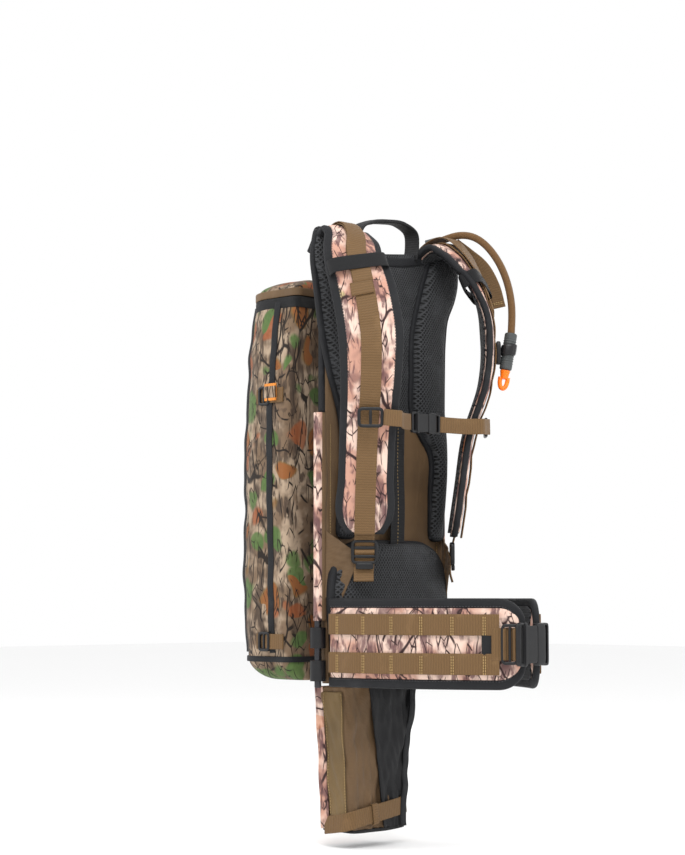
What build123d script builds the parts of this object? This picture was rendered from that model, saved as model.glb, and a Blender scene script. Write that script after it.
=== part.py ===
"""Hunting backpack with a rifle compartment between the harness and the bag.

Millimetres, +Z up. The wearer stands on the -Y side and the bag hangs on the +Y side; -X is the
wearer's right. The origin is on the front of the lumbar pad's backing, on the centre line, where
the wearer's back carries the load. Soft pieces are plain closed solids of the true size.
"""

from build123d import *
from math import cos, radians, sin, sqrt, tan
import os

# Webbing and harness
WEBBING = 25.0  # standard webbing width
WIDE_WEBBING = 38.0  # belt webbing width
WEBBING_T = 2.0
GAP = 0.4  # air between neighbouring layers
STRAP_T = 15.0
PANEL_T = 6.0  # padded cloth panel
PANEL_Y = 3.5  # wearer's side of the back panel
PANEL_HALF = 105.8
PANEL_LOW_HALF = 101.5  # beside the collars
PANEL_TOP = 396.0
PANEL_BOTTOM = -140.0
ROD_X = 112.0
ROD_Y = 6.5
ROD_R = 4.25
ROD_BOTTOM = -145.0
ROD_TOP = 188.0

# Shoulder strap centre line on the wearer's left: x, y, z, width, turn of its face outwards
STRAP_STATIONS = [
    (92.0, -6.0, 409.0, 70.0, 0.0),
    (94.0, -22.0, 416.0, 70.0, 0.0),
    (98.0, -38.0, 404.0, 72.0, 12.0),
    (107.0, -50.0, 382.0, 74.0, 25.0),
    (110.0, -66.0, 348.0, 76.0, 38.0),
    (110.0, -76.0, 316.0, 76.0, 45.0),
    (108.0, -80.5, 282.0, 76.0, 45.0),
    (105.0, -78.0, 240.0, 72.0, 45.0),
    (91.2, -58.2, 162.0, 65.0, 45.0),
    (87.8, -52.2, 110.0, 64.0, 45.0),
    (82.8, -45.0, 55.0, 60.0, 45.0),
    (81.5, -43.5, 42.0, 44.0, 45.0),
]

# Hip belt: each wing is an arc seen from above
BELT_CENTRE = (280.6, 19.4)
BELT_R = 388.0
BELT_T = 14.0
BELT_START = 185.2
BELT_SWEEP = 36.0
BELT_BOTTOM = -142.0
BELT_HEIGHT = 104.0
BELT_PIVOT = (-105.0, -8.0)

# Bag and rifle gap
BAG_Y0 = 54.0
BAG_Y1 = 160.0
BAG_HALF = 121.0
BAG_BOTTOM = -138.0
BAG_RIM = 344.0
WALL = 3.0
CORNER_R = 52.0
LID_TOP = 371.0

# Boot under the harness that takes the rifle's stock
BOOT_TOP = -146.0
BOOT_BOTTOM = -328.0

HOSE_R = 4.75
HOSE_POINTS = [
    (101.0, 0.0, 431.0),
    (109.0, -16.0, 437.5),
    (116.0, -33.0, 439.0),
    (122.0, -49.0, 434.0),
    (127.0, -64.5, 421.0),
    (131.0, -79.0, 401.0),
    (134.0, -89.0, 379.0),
    (135.0, -96.0, 355.0),
    (134.0, -100.0, 329.0),
    (130.0, -101.0, 303.0),
]

os.makedirs("parts", exist_ok=True)


def save(part, name):
    """Label one finished node and write its STEP file."""
    part.label = name
    export_step(part, f"parts/{name}.step")


def facing(x, y, z, turn=45.0):
    """Plane at a point on the wearer's right, its face turned outwards; local y is up."""
    c, s = cos(radians(turn)), sin(radians(turn))
    return Plane(origin=(x, y, z), x_dir=(c, -s, 0), z_dir=(-s, -c, 0))


def strap_plane(index):
    """Cross-section plane of the right shoulder strap; local y is the strap's outer face."""
    x, y, z, _, turn = STRAP_STATIONS[index]
    before = STRAP_STATIONS[max(index - 1, 0)]
    after = STRAP_STATIONS[min(index + 1, len(STRAP_STATIONS) - 1)]
    along = Vector(-after[0] + before[0], after[1] - before[1], after[2] - before[2]).normalized()
    across = Vector(cos(radians(turn)), -sin(radians(turn)), 0)
    across = (across - along * across.dot(along)).normalized()
    return Plane(origin=(-x, y, z), x_dir=across, z_dir=along)


def layer(first, last, width, thickness, lift):
    """Sections of a band that follows the strap, lifted off its middle surface."""
    sections = []
    for index in range(first, last + 1):
        with BuildSketch(strap_plane(index)) as section:
            with Locations((0, lift)):
                Rectangle(width or STRAP_STATIONS[index][3], thickness)
        sections.append(section.sketch)
    return sections


def belt_band(height, inner, outer, start, sweep):
    """Arc band seen from above, between two offsets from the belt's middle arc."""
    with BuildSketch(Plane.XY.offset(height)) as band:
        with BuildLine():
            low = CenterArc(BELT_CENTRE, BELT_R + inner, start, sweep)
            high = CenterArc(BELT_CENTRE, BELT_R + outer, start, sweep)
            Line(low @ 0, high @ 0)
            Line(low @ 1, high @ 1)
        make_face()
    return band.sketch


# --- Frame -----------------------------------------------------------------------------------

with BuildPart() as frame_sheet:
    with BuildSketch(Plane.XZ.offset(-0.6)):
        with Locations((0, 150)):
            RectangleRounded(176, 420, 20)
    extrude(amount=-2.4)
save(frame_sheet.part, "frame_sheet")

with BuildPart() as frame_rods:
    with BuildSketch(Plane.XY.offset(ROD_BOTTOM)):
        with Locations((-ROD_X, ROD_Y), (ROD_X, ROD_Y)):
            Circle(ROD_R)
    extrude(amount=ROD_TOP - ROD_BOTTOM)
    chamfer(frame_rods.edges().filter_by(GeomType.CIRCLE), 0.8)
save(frame_rods.part, "frame_rods")

with BuildPart() as rod_collars:
    for bottom in (-137.0, -97.0):
        with BuildSketch(Plane.XY.offset(bottom)):
            with Locations((-ROD_X, ROD_Y), (ROD_X, ROD_Y)):
                Circle(9.6)
                Circle(ROD_R + 0.2, mode=Mode.SUBTRACT)
        extrude(amount=25)
save(rod_collars.part, "rod_collars")

with BuildPart() as edge_sleeves:
    with BuildSketch(Plane.XY.offset(-64)):
        with Locations((-ROD_X, ROD_Y), (ROD_X, ROD_Y)):
            Circle(5.8)
            Circle(ROD_R + 0.2, mode=Mode.SUBTRACT)
    extrude(amount=ROD_TOP + 64)
save(edge_sleeves.part, "edge_sleeves")

# --- Back panel and pads -----------------------------------------------------------------------

with BuildPart() as back_panel:
    with BuildSketch(Plane.XZ.offset(-PANEL_Y)):
        with BuildLine():
            Polyline(
                (-PANEL_LOW_HALF, PANEL_BOTTOM),
                (PANEL_LOW_HALF, PANEL_BOTTOM),
                (PANEL_LOW_HALF, -66),
                (PANEL_HALF, -60),
                (PANEL_HALF, ROD_TOP),
                (120, 330),
                (124, PANEL_TOP + 8),
                (0, PANEL_TOP - 12),
                (-124, PANEL_TOP + 8),
                (-120, 330),
                (-PANEL_HALF, ROD_TOP),
                (-PANEL_HALF, -60),
                (-PANEL_LOW_HALF, -66),
                close=True,
            )
        make_face()
    extrude(amount=-PANEL_T)
save(back_panel.part, "back_panel")

with BuildPart() as center_mesh_panel:
    with BuildSketch(Plane.XZ.offset(0.6)):
        with BuildLine():
            Polyline((-42, 186), (42, 186), (42, 292), (70, 392), (0, 380), (-70, 392), (-42, 292), close=True)
        make_face()
    extrude(amount=3.6)
save(center_mesh_panel.part, "center_mesh_panel")

with BuildPart() as right_yoke_pad:
    with BuildSketch(Plane.XZ.offset(1.0)):
        with BuildLine():
            Polyline(
                (-44, 196),
                (-44, 292),
                (-58, 345),
                (-74, 396),
                (-128, 396),
                (-134, 372),
                (-118, 335),
                (-110, 290),
                (-102, 228),
                (-92, 170),
                (-92, 44),
                (-68, 44),
                (-68, 160),
                close=True,
            )
        make_face()
    extrude(amount=16)
save(right_yoke_pad.part, "right_yoke_pad")

with BuildPart() as left_yoke_pad:
    mirror(right_yoke_pad.part, about=Plane.YZ)
save(left_yoke_pad.part, "left_yoke_pad")

with BuildPart() as spine_webbing:
    with BuildSketch(Plane.XZ.offset(16)):
        with Locations((5, 112)):
            Rectangle(WEBBING, 148)
    extrude(amount=WEBBING_T)
save(spine_webbing.part, "spine_webbing")

with BuildPart() as lumbar_pad:
    with BuildSketch(Plane.XZ.offset(1.0)):
        with BuildLine():
            Polyline(
                (-88, -140), (88, -140), (90, -40), (74, 8), (40, 33), (-40, 33), (-74, 8), (-90, -40), close=True
            )
        make_face()
    extrude(amount=29)
    chamfer(lumbar_pad.faces().sort_by(Axis.Y)[0].edges(), 8)
save(lumbar_pad.part, "lumbar_pad")

# --- Shoulder straps -----------------------------------------------------------------------------

LAST = len(STRAP_STATIONS) - 1
FACE = STRAP_T / 2

with BuildPart() as right_shoulder_strap:
    loft(layer(0, LAST, 0, STRAP_T, 0), ruled=True)
save(right_shoulder_strap.part, "right_shoulder_strap")

with BuildPart() as left_shoulder_strap:
    mirror(right_shoulder_strap.part, about=Plane.YZ)
save(left_shoulder_strap.part, "left_shoulder_strap")

with BuildPart() as right_strap_webbing:
    loft(layer(1, LAST, WEBBING, WEBBING_T, FACE + GAP + WEBBING_T / 2), ruled=True)
save(right_strap_webbing.part, "right_strap_webbing")

with BuildPart() as left_strap_webbing:
    mirror(right_strap_webbing.part, about=Plane.YZ)
save(left_strap_webbing.part, "left_strap_webbing")

BAND_LIFT = 2.5
with BuildPart() as elastic_bands:
    with BuildSketch(strap_plane(3).offset(-9)):
        with Locations((0, BAND_LIFT)):
            Rectangle(86, 28)
            Rectangle(83, 25.5, mode=Mode.SUBTRACT)
    extrude(amount=18)
    mirror(elastic_bands.part, about=Plane.YZ)
save(elastic_bands.part, "elastic_bands")

with BuildPart() as load_lifters:
    loft(layer(1, 4, WEBBING - 1, WEBBING_T, FACE + 2 * GAP + 1.5 * WEBBING_T), ruled=True)
    mirror(load_lifters.part, about=Plane.YZ)
save(load_lifters.part, "load_lifters")

# --- Ladder-locks and lower webbing ------------------------------------------------------------

LOCK = (-80.0, -42.0, 20.0)
LOCK_W = 32.0
LOCK_H = 30.0
LOCK_T = 5.0

with BuildPart() as right_ladder_lock:
    with BuildSketch(facing(*LOCK)):
        RectangleRounded(LOCK_W, LOCK_H, 4)
        with Locations((0, 6.5), (0, -5.5)):
            Rectangle(WEBBING + 1, 6.5, mode=Mode.SUBTRACT)
    extrude(amount=LOCK_T)
    with BuildSketch(facing(*LOCK)):
        with Locations((0, -LOCK_H / 2 - 3)):
            Rectangle(22, 7)
    extrude(amount=2.5)
save(right_ladder_lock.part, "right_ladder_lock")

with BuildPart() as left_ladder_lock:
    mirror(right_ladder_lock.part, about=Plane.YZ)
save(left_ladder_lock.part, "left_ladder_lock")

with BuildPart() as right_webbing_tail:
    with BuildSketch(facing(*LOCK).offset(LOCK_T + GAP)):
        with Locations((0, 0.5)):
            Rectangle(WEBBING, 19)
    extrude(amount=WEBBING_T)
    with BuildSketch(facing(*LOCK).offset(-GAP - WEBBING_T)):
        with Locations((0, -16)):
            Rectangle(18, 34)
    extrude(amount=WEBBING_T)
save(right_webbing_tail.part, "right_webbing_tail")

with BuildPart() as left_webbing_tail:
    mirror(right_webbing_tail.part, about=Plane.YZ)
save(left_webbing_tail.part, "left_webbing_tail")

with BuildPart() as lower_webbings:
    with BuildSketch(facing(-93, -22, 0)):
        with BuildLine():
            Polyline((8, 4), (32, 4), (6, -34), (-20, -34), close=True)
        make_face()
    extrude(amount=WEBBING_T)
    mirror(lower_webbings.part, about=Plane.YZ)
save(lower_webbings.part, "lower_webbings")

# --- Haul handle -----------------------------------------------------------------------------------

HANDLE_Y = 4.0
HANDLE_FOOT = 408.0
HANDLE_RISE = 40.0
HANDLE_HALF = 40.0

with BuildPart() as haul_handle:
    with BuildSketch(Plane.XZ.offset(-HANDLE_Y + WEBBING / 2)):
        with BuildLine():
            outer = ThreePointArc(
                (-HANDLE_HALF - 12, HANDLE_FOOT), (0, HANDLE_FOOT + HANDLE_RISE), (HANDLE_HALF + 12, HANDLE_FOOT)
            )
            inner = ThreePointArc(
                (-HANDLE_HALF - 9, HANDLE_FOOT), (0, HANDLE_FOOT + HANDLE_RISE - 2.4), (HANDLE_HALF + 9, HANDLE_FOOT)
            )
            Line(outer @ 0, inner @ 0)
            Line(outer @ 1, inner @ 1)
        make_face()
    extrude(amount=-WEBBING)
save(haul_handle.part, "haul_handle")

# --- Hip belt ----------------------------------------------------------------------------------------

BELT_MIDDLE = BELT_BOTTOM + BELT_HEIGHT / 2
ROWS = (BELT_BOTTOM + 16, BELT_BOTTOM + 62)
FACE_R = BELT_T / 2

with BuildPart() as right_belt_wing:
    extrude(belt_band(BELT_BOTTOM, -BELT_T / 2, BELT_T / 2, BELT_START, BELT_SWEEP), amount=BELT_HEIGHT)
    tips = right_belt_wing.edges().filter_by(lambda e: abs(e.tangent_at(0.5).Z) < 0.01)
    fillet(tips.filter_by(GeomType.LINE).sort_by(Axis.Y)[:2], 30)
save(right_belt_wing.part, "right_belt_wing")

with BuildPart() as left_belt_wing:
    mirror(right_belt_wing.part, about=Plane.YZ)
save(left_belt_wing.part, "left_belt_wing")

with BuildPart() as right_molle_rows:
    for row in ROWS:
        band = belt_band(row, FACE_R + GAP, FACE_R + GAP + WEBBING_T, BELT_START + 0.8, 31)
        extrude(band, amount=WEBBING)
save(right_molle_rows.part, "right_molle_rows")

with BuildPart() as left_molle_rows:
    mirror(right_molle_rows.part, about=Plane.YZ)
save(left_molle_rows.part, "left_molle_rows")

with BuildPart() as right_belt_webbing:
    lift = FACE_R + GAP * 2 + WEBBING_T
    band = belt_band(BELT_MIDDLE - WIDE_WEBBING / 2, lift, lift + WEBBING_T, BELT_START + 30.5, 4.6)
    extrude(band, amount=WIDE_WEBBING)
save(right_belt_webbing.part, "right_belt_webbing")

with BuildPart() as left_belt_webbing:
    mirror(right_belt_webbing.part, about=Plane.YZ)
save(left_belt_webbing.part, "left_belt_webbing")

# The buckle lies across the front: a socket on the right wing and a plug on the left one
BUCKLE_Y = -247.0
BUCKLE_T = 11.0
BUCKLE_H = 51.0
PLUG_CLEAR = 1.6

with BuildPart() as belt_buckle_socket:
    with BuildSketch(Plane.XZ.offset(-BUCKLE_Y - BUCKLE_T / 2)):
        with Locations((-15, BELT_MIDDLE)):
            RectangleRounded(30, BUCKLE_H, 5)
    extrude(amount=BUCKLE_T)
    with BuildSketch(Plane.YZ):
        with Locations((BUCKLE_Y, BELT_MIDDLE)):
            Rectangle(BUCKLE_T - 4, 38)
    extrude(amount=-18, mode=Mode.SUBTRACT)
save(belt_buckle_socket.part, "belt_buckle_socket")

with BuildPart() as belt_buckle_plug:
    with BuildSketch(Plane.XZ.offset(-BUCKLE_Y - BUCKLE_T / 2)):
        with Locations((14, BELT_MIDDLE)):
            RectangleRounded(26, BUCKLE_H, 5)
    extrude(amount=BUCKLE_T)
    with BuildSketch(Plane.YZ.offset(1)):
        with Locations((BUCKLE_Y, BELT_MIDDLE + 11), (BUCKLE_Y, BELT_MIDDLE), (BUCKLE_Y, BELT_MIDDLE - 11)):
            Rectangle(BUCKLE_T - 4 - 2 * PLUG_CLEAR, 6)
    extrude(amount=-16)
save(belt_buckle_plug.part, "belt_buckle_plug")

# --- Sternum strap ---------------------------------------------------------------------------------

STERNUM_Z = 181.0
SLIDER = (-106.0, -75.0, STERNUM_Z)
STERNUM_Y = -70.0

with BuildPart() as sternum_sliders:
    with BuildSketch(facing(*SLIDER)):
        RectangleRounded(32, 24, 3)
        RectangleRounded(25, 16, 2, mode=Mode.SUBTRACT)
    extrude(amount=3.5)
    mirror(sternum_sliders.part, about=Plane.YZ)
save(sternum_sliders.part, "sternum_sliders")

with BuildPart() as sternum_right_webbing:
    with BuildSketch(Plane.XY.offset(STERNUM_Z - 10)):
        with BuildLine():
            Polyline(
                (-98.0, -92.5),
                (-75, -100.6),
                (-58, -86.7),
                (-27, STERNUM_Y - 1),
                (-27, STERNUM_Y + 1),
                (-57, -84.4),
                (-75, -98.2),
                (-97.0, -90.3),
                close=True,
            )
        make_face()
    extrude(amount=20)
save(sternum_right_webbing.part, "sternum_right_webbing")

with BuildPart() as sternum_left_webbing:
    mirror(sternum_right_webbing.part, about=Plane.YZ)
save(sternum_left_webbing.part, "sternum_left_webbing")

with BuildPart() as sternum_buckle_socket:
    with BuildSketch(Plane.XZ.offset(-STERNUM_Y - 4)):
        with Locations((-12, STERNUM_Z)):
            RectangleRounded(28, 27, 4)
    extrude(amount=8)
    with BuildSketch(Plane.YZ.offset(2)):
        with Locations((STERNUM_Y, STERNUM_Z)):
            Rectangle(5, 20)
    extrude(amount=-16, mode=Mode.SUBTRACT)
save(sternum_buckle_socket.part, "sternum_buckle_socket")

with BuildPart() as sternum_buckle_plug:
    with BuildSketch(Plane.XZ.offset(-STERNUM_Y - 4)):
        with Locations((14, STERNUM_Z)):
            RectangleRounded(22, 27, 4)
    extrude(amount=8)
    with BuildSketch(Plane.YZ.offset(3)):
        with Locations((STERNUM_Y, STERNUM_Z - 7), (STERNUM_Y, STERNUM_Z), (STERNUM_Y, STERNUM_Z + 7)):
            Rectangle(3.4, 4)
    extrude(amount=-14)
save(sternum_buckle_plug.part, "sternum_buckle_plug")

# --- Hydration hose ----------------------------------------------------------------------------------

hose_corners = [Vector(*p) for p in HOSE_POINTS]
hose_radii = []
for p, q, r in zip(hose_corners, hose_corners[1:], hose_corners[2:]):
    turn = (q - p).get_angle(r - q)
    hose_radii.append(0.45 * min((q - p).length, (r - q).length) / tan(radians(turn) / 2))
print("hose radii", [round(radius) for radius in hose_radii])

with BuildPart() as hydration_hose:
    with BuildLine() as hose_path:
        FilletPolyline(*HOSE_POINTS, radius=hose_radii)
    with BuildSketch(Plane(origin=HOSE_POINTS[0], z_dir=hose_corners[1] - hose_corners[0])):
        Circle(HOSE_R)
    sweep()
hose_length = hose_path.wires()[0].length
hose_share = hydration_hose.part.volume / (3.14159265 * HOSE_R**2 * hose_length)
print("hose length", round(hose_length, 1), "volume share", round(hose_share, 4))
save(hydration_hose.part, "hydration_hose")

HOSE_START = hose_corners[0]
HOSE_START_DIR = (hose_corners[1] - hose_corners[0]).normalized()
HOSE_END = hose_corners[-1]
SLEEVE_AXIS = Vector(-7.5, 4.0, -48).normalized()

with BuildPart() as hose_port:
    with BuildSketch(Plane(origin=HOSE_START - HOSE_START_DIR * 14, z_dir=HOSE_START_DIR)):
        Circle(9)
    with BuildSketch(Plane(origin=HOSE_START - HOSE_START_DIR * GAP, z_dir=HOSE_START_DIR)):
        Circle(7)
    loft()
save(hose_port.part, "hose_port")

with BuildPart() as valve_sleeve:
    with BuildSketch(Plane(origin=HOSE_END + SLEEVE_AXIS * 2 * GAP, z_dir=SLEEVE_AXIS)):
        Circle(8)
    extrude(amount=48)
    chamfer(valve_sleeve.edges().filter_by(GeomType.CIRCLE), 1.5)
save(valve_sleeve.part, "valve_sleeve")

CLIP_POINT = HOSE_END + SLEEVE_AXIS * 26

with BuildPart() as valve_clip:
    with BuildSketch(facing(-CLIP_POINT.X + 12.4, CLIP_POINT.Y + 8.4, CLIP_POINT.Z)):
        RectangleRounded(12, 30, 2)
    extrude(amount=4)
    mirror(about=Plane.YZ, mode=Mode.REPLACE)
save(valve_clip.part, "valve_clip")

with BuildPart() as bite_valve:
    with BuildSketch(Plane(origin=HOSE_END + SLEEVE_AXIS * 49.2, z_dir=SLEEVE_AXIS)):
        Ellipse(7, 5)
    with BuildSketch(Plane(origin=HOSE_END + SLEEVE_AXIS * 75, z_dir=SLEEVE_AXIS)):
        Ellipse(5.5, 3)
    loft()
save(bite_valve.part, "bite_valve")

# --- Boot: the pocket below the harness that takes the stock --------------------------------------

BOOT_HALF = 58.0
BOOT_Y0 = 6.0
BOOT_Y1 = 56.0
BOOT_LOW_HALF = 46.0


def boot_wall(y):
    """Outline of a tapered wall in the plane across the pack."""
    with BuildSketch(Plane.XZ.offset(-y)) as wall:
        with BuildLine():
            Polyline(
                (-BOOT_HALF - 8, BOOT_TOP),
                (BOOT_HALF, BOOT_TOP),
                (BOOT_LOW_HALF, BOOT_BOTTOM + 8),
                (-BOOT_LOW_HALF - 8, BOOT_BOTTOM + 4),
                close=True,
            )
        make_face()
    return wall.sketch


with BuildPart() as boot_front_wall:
    extrude(boot_wall(BOOT_Y0), amount=-WALL)
save(boot_front_wall.part, "boot_front_wall")
with BuildPart() as boot_rear_wall:
    extrude(boot_wall(BOOT_Y1 - WALL), amount=-WALL)
save(boot_rear_wall.part, "boot_rear_wall")
with BuildPart() as boot_side_wall:
    with BuildSketch(Plane.XY.offset(BOOT_TOP)):
        with Locations((BOOT_HALF - 1.7, (BOOT_Y0 + BOOT_Y1) / 2)):
            Rectangle(WALL, BOOT_Y1 - BOOT_Y0 - 2 * WALL - 2 * GAP)
    with BuildSketch(Plane.XY.offset(BOOT_BOTTOM + 12)):
        with Locations((BOOT_LOW_HALF - 1.5, (BOOT_Y0 + BOOT_Y1) / 2)):
            Rectangle(WALL, BOOT_Y1 - BOOT_Y0 - 2 * WALL - 2 * GAP)
    loft()
save(boot_side_wall.part, "boot_side_wall")
with BuildPart() as boot_floor:
    with BuildSketch(Plane.XY.offset(BOOT_BOTTOM - 1)):
        with Locations((-4, (BOOT_Y0 + BOOT_Y1) / 2)):
            RectangleRounded(2 * BOOT_LOW_HALF + 6, BOOT_Y1 - BOOT_Y0, 3)
    extrude(amount=4)
save(boot_floor.part, "boot_floor")
with BuildPart() as boot_bands:
    with BuildSketch(Plane.XZ.offset(-BOOT_Y0 + GAP)):
        with Locations((-4, BOOT_BOTTOM + 20)):
            Rectangle(94, WEBBING)
    extrude(amount=WEBBING_T)
    with BuildSketch(Plane.XZ.offset(-BOOT_Y0 + 2 * GAP + WEBBING_T)):
        with Locations((-2, BOOT_BOTTOM + 20)):
            Rectangle(20, 30)
    extrude(amount=WEBBING_T)
save(boot_bands.part, "boot_bands")
with BuildPart() as boot_hook_strip:
    with BuildSketch(Plane.XZ.offset(-BOOT_Y0 + GAP)):
        with BuildLine():
            Polyline((-54, BOOT_TOP - 2), (-34, BOOT_TOP - 2), (-28, -292), (-46, -292), close=True)
        make_face()
    extrude(amount=1.5)
save(boot_hook_strip.part, "boot_hook_strip")

# --- Bag -----------------------------------------------------------------------------------------------

SIDE_X = BAG_HALF - WALL


with BuildPart() as bag_inner_wall:
    with BuildSketch(Plane.XZ.offset(-BAG_Y0)):
        with Locations((0, (BAG_RIM + BAG_BOTTOM) / 2)):
            RectangleRounded(2 * BAG_HALF, BAG_RIM - BAG_BOTTOM, 10)
    extrude(amount=-WALL)
save(bag_inner_wall.part, "bag_inner_wall")
with BuildPart() as bag_right_wall:
    with BuildSketch(Plane.XY.offset(BAG_BOTTOM)):
        with BuildLine():
            front = Line((-BAG_HALF, BAG_Y0 + WALL + GAP), (-BAG_HALF, BAG_Y1 - CORNER_R))
            corner = RadiusArc(front @ 1, (-BAG_HALF + CORNER_R, BAG_Y1), CORNER_R)
            step = Line(corner @ 1, (-BAG_HALF + CORNER_R, BAG_Y1 - WALL))
            back = RadiusArc(step @ 1, (-SIDE_X, BAG_Y1 - CORNER_R), -(CORNER_R - WALL))
            side = Line(back @ 1, (-SIDE_X, BAG_Y0 + WALL + GAP))
            Line(side @ 1, front @ 0)
        make_face()
    extrude(amount=BAG_RIM - BAG_BOTTOM - 1)
save(bag_right_wall.part, "bag_right_wall")
with BuildPart() as bag_left_wall:
    mirror(bag_right_wall.part, about=Plane.YZ)
save(bag_left_wall.part, "bag_left_wall")
with BuildPart() as bag_outer_wall:
    with BuildSketch(Plane.XZ.offset(-BAG_Y1)):
        with Locations((0, (BAG_RIM + BAG_BOTTOM) / 2)):
            Rectangle(2 * (BAG_HALF - CORNER_R) - 2 * GAP, BAG_RIM - BAG_BOTTOM - 2)
    extrude(amount=WALL)
save(bag_outer_wall.part, "bag_outer_wall")


def bag_plan(height, inset):
    """Closed outline of the bag from above, drawn inside its walls by inset."""
    x = BAG_HALF - inset
    radius = CORNER_R - inset
    with BuildSketch(Plane.XY.offset(height)) as plan:
        with BuildLine():
            left = Line((-x, BAG_Y0 + inset), (-x, BAG_Y1 - CORNER_R))
            arc_a = RadiusArc(left @ 1, (-BAG_HALF + CORNER_R, BAG_Y1 - inset), radius)
            rear = Line(arc_a @ 1, (BAG_HALF - CORNER_R, BAG_Y1 - inset))
            arc_b = RadiusArc(rear @ 1, (x, BAG_Y1 - CORNER_R), radius)
            right = Line(arc_b @ 1, (x, BAG_Y0 + inset))
            Line(right @ 1, left @ 0)
        make_face()
    return plan.sketch


with BuildPart() as bag_floor:
    extrude(bag_plan(BAG_BOTTOM, WALL + GAP), amount=WALL)
save(bag_floor.part, "bag_floor")

LID_GAP = 1.0
with BuildPart() as lid_top:
    extrude(bag_plan(LID_TOP - WALL, 0), amount=WALL)
    chamfer(lid_top.faces().sort_by(Axis.Z)[-1].edges(), 1.2)
save(lid_top.part, "lid_top")
with BuildPart() as lid_rim:
    extrude(bag_plan(BAG_RIM + LID_GAP, 0), amount=LID_TOP - WALL - BAG_RIM - LID_GAP - 0.3)
    extrude(bag_plan(BAG_RIM + LID_GAP, WALL), amount=LID_TOP - BAG_RIM, mode=Mode.SUBTRACT)
save(lid_rim.part, "lid_rim")

with BuildPart() as front_pocket:
    with BuildSketch(Plane.XZ.offset(-BAG_Y1 - GAP)):
        with Locations((0, -10)):
            RectangleRounded(150, 190, 25)
    extrude(amount=-22)
    chamfer(front_pocket.faces().sort_by(Axis.Y)[-1].edges(), 10)
save(front_pocket.part, "front_pocket")

with BuildPart() as hydration_reservoir:
    with BuildSketch(Plane.XZ.offset(-BAG_Y0 - WALL - 1)):
        with Locations((0, 110)):
            RectangleRounded(150, 300, 30)
    extrude(amount=-18)
    chamfer(hydration_reservoir.faces().sort_by(Axis.Y)[-1].edges(), 6)
save(hydration_reservoir.part, "hydration_reservoir")

with BuildPart() as side_gusset:
    with BuildSketch(Plane.YZ.offset(BAG_HALF + GAP)):
        with Locations((32, 30)):
            Rectangle(34, 300)
    extrude(amount=2)
save(side_gusset.part, "side_gusset")

with BuildPart() as compression_straps:
    for height in (218.0, -90.0):
        with BuildSketch(Plane.YZ.offset(-BAG_HALF - GAP)):
            with Locations((84, height)):
                Rectangle(44, WEBBING)
        extrude(amount=-WEBBING_T)
    mirror(compression_straps.part, about=Plane.YZ)
save(compression_straps.part, "compression_straps")

with BuildPart() as strap_buckles:
    for height in (218.0, -90.0):
        with BuildSketch(Plane.YZ.offset(-BAG_HALF - 2 * GAP - WEBBING_T)):
            with Locations((92, height)):
                RectangleRounded(20, 30, 3)
        extrude(amount=-5)
    mirror(strap_buckles.part, about=Plane.YZ)
save(strap_buckles.part, "strap_buckles")

ZIP_Z = BAG_RIM - 8
with BuildPart() as zip_slider:
    with BuildSketch(Plane.XZ.offset(-BAG_Y1 - GAP)):
        with Locations((0, ZIP_Z)):
            RectangleRounded(12, 8, 2)
    extrude(amount=-5)
save(zip_slider.part, "zip_slider")
with BuildPart() as zip_pull:
    with BuildSketch(Plane.XZ.offset(-BAG_Y1 - GAP - 5 - GAP)):
        with Locations((0, ZIP_Z - 14)):
            RectangleRounded(6, 30, 2)
    extrude(amount=-2)
save(zip_pull.part, "zip_pull")
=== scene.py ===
"""Visual model of a hunting backpack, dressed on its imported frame.

Metres, +Z up. The wearer stands on the -Y side, the bag hangs on the +Y side and -X is the
wearer's right. Every new piece is a surface worked out with numpy: closed rings of points
carried along a path, or a grid of two parameters.
"""

from __future__ import annotations

import logging
import math
from dataclasses import dataclass
from enum import Enum

import bmesh
import bpy
import numpy as np
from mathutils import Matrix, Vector


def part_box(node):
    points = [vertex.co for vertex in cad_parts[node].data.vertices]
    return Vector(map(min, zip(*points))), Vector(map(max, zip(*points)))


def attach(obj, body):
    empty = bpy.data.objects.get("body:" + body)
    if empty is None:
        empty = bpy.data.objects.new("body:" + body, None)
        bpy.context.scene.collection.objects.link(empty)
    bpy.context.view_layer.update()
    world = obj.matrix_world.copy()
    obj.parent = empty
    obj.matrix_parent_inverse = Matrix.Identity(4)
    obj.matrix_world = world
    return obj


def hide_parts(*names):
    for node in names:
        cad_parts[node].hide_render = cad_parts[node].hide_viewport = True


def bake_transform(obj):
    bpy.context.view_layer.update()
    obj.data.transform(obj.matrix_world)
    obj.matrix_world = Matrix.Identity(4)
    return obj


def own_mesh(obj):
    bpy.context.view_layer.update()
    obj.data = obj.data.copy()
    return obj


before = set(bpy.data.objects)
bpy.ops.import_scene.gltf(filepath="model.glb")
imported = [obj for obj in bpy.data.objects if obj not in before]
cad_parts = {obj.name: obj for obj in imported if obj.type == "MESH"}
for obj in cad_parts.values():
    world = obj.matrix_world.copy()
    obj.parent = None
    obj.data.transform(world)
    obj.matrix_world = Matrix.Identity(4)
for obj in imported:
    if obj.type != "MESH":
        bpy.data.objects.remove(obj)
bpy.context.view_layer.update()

Array = np.ndarray
MM = 0.001
LOG = logging.getLogger("backpack")


class Side(Enum):
    """The two sides of the wearer, as the sign of X."""

    RIGHT = -1.0
    LEFT = 1.0

    @property
    def word(self) -> str:
        """The side's name as node names write it."""
        return self.name.lower()


# --- Curves and sections ---------------------------------------------------------------------


def unit(vectors: Array) -> Array:
    """Vectors scaled to length one.

    Args:
        vectors: an array whose last axis holds the components.

    Returns:
        The same array with every vector divided by its length.
    """
    return vectors / np.maximum(np.linalg.norm(vectors, axis=-1, keepdims=True), 1e-12)


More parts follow.
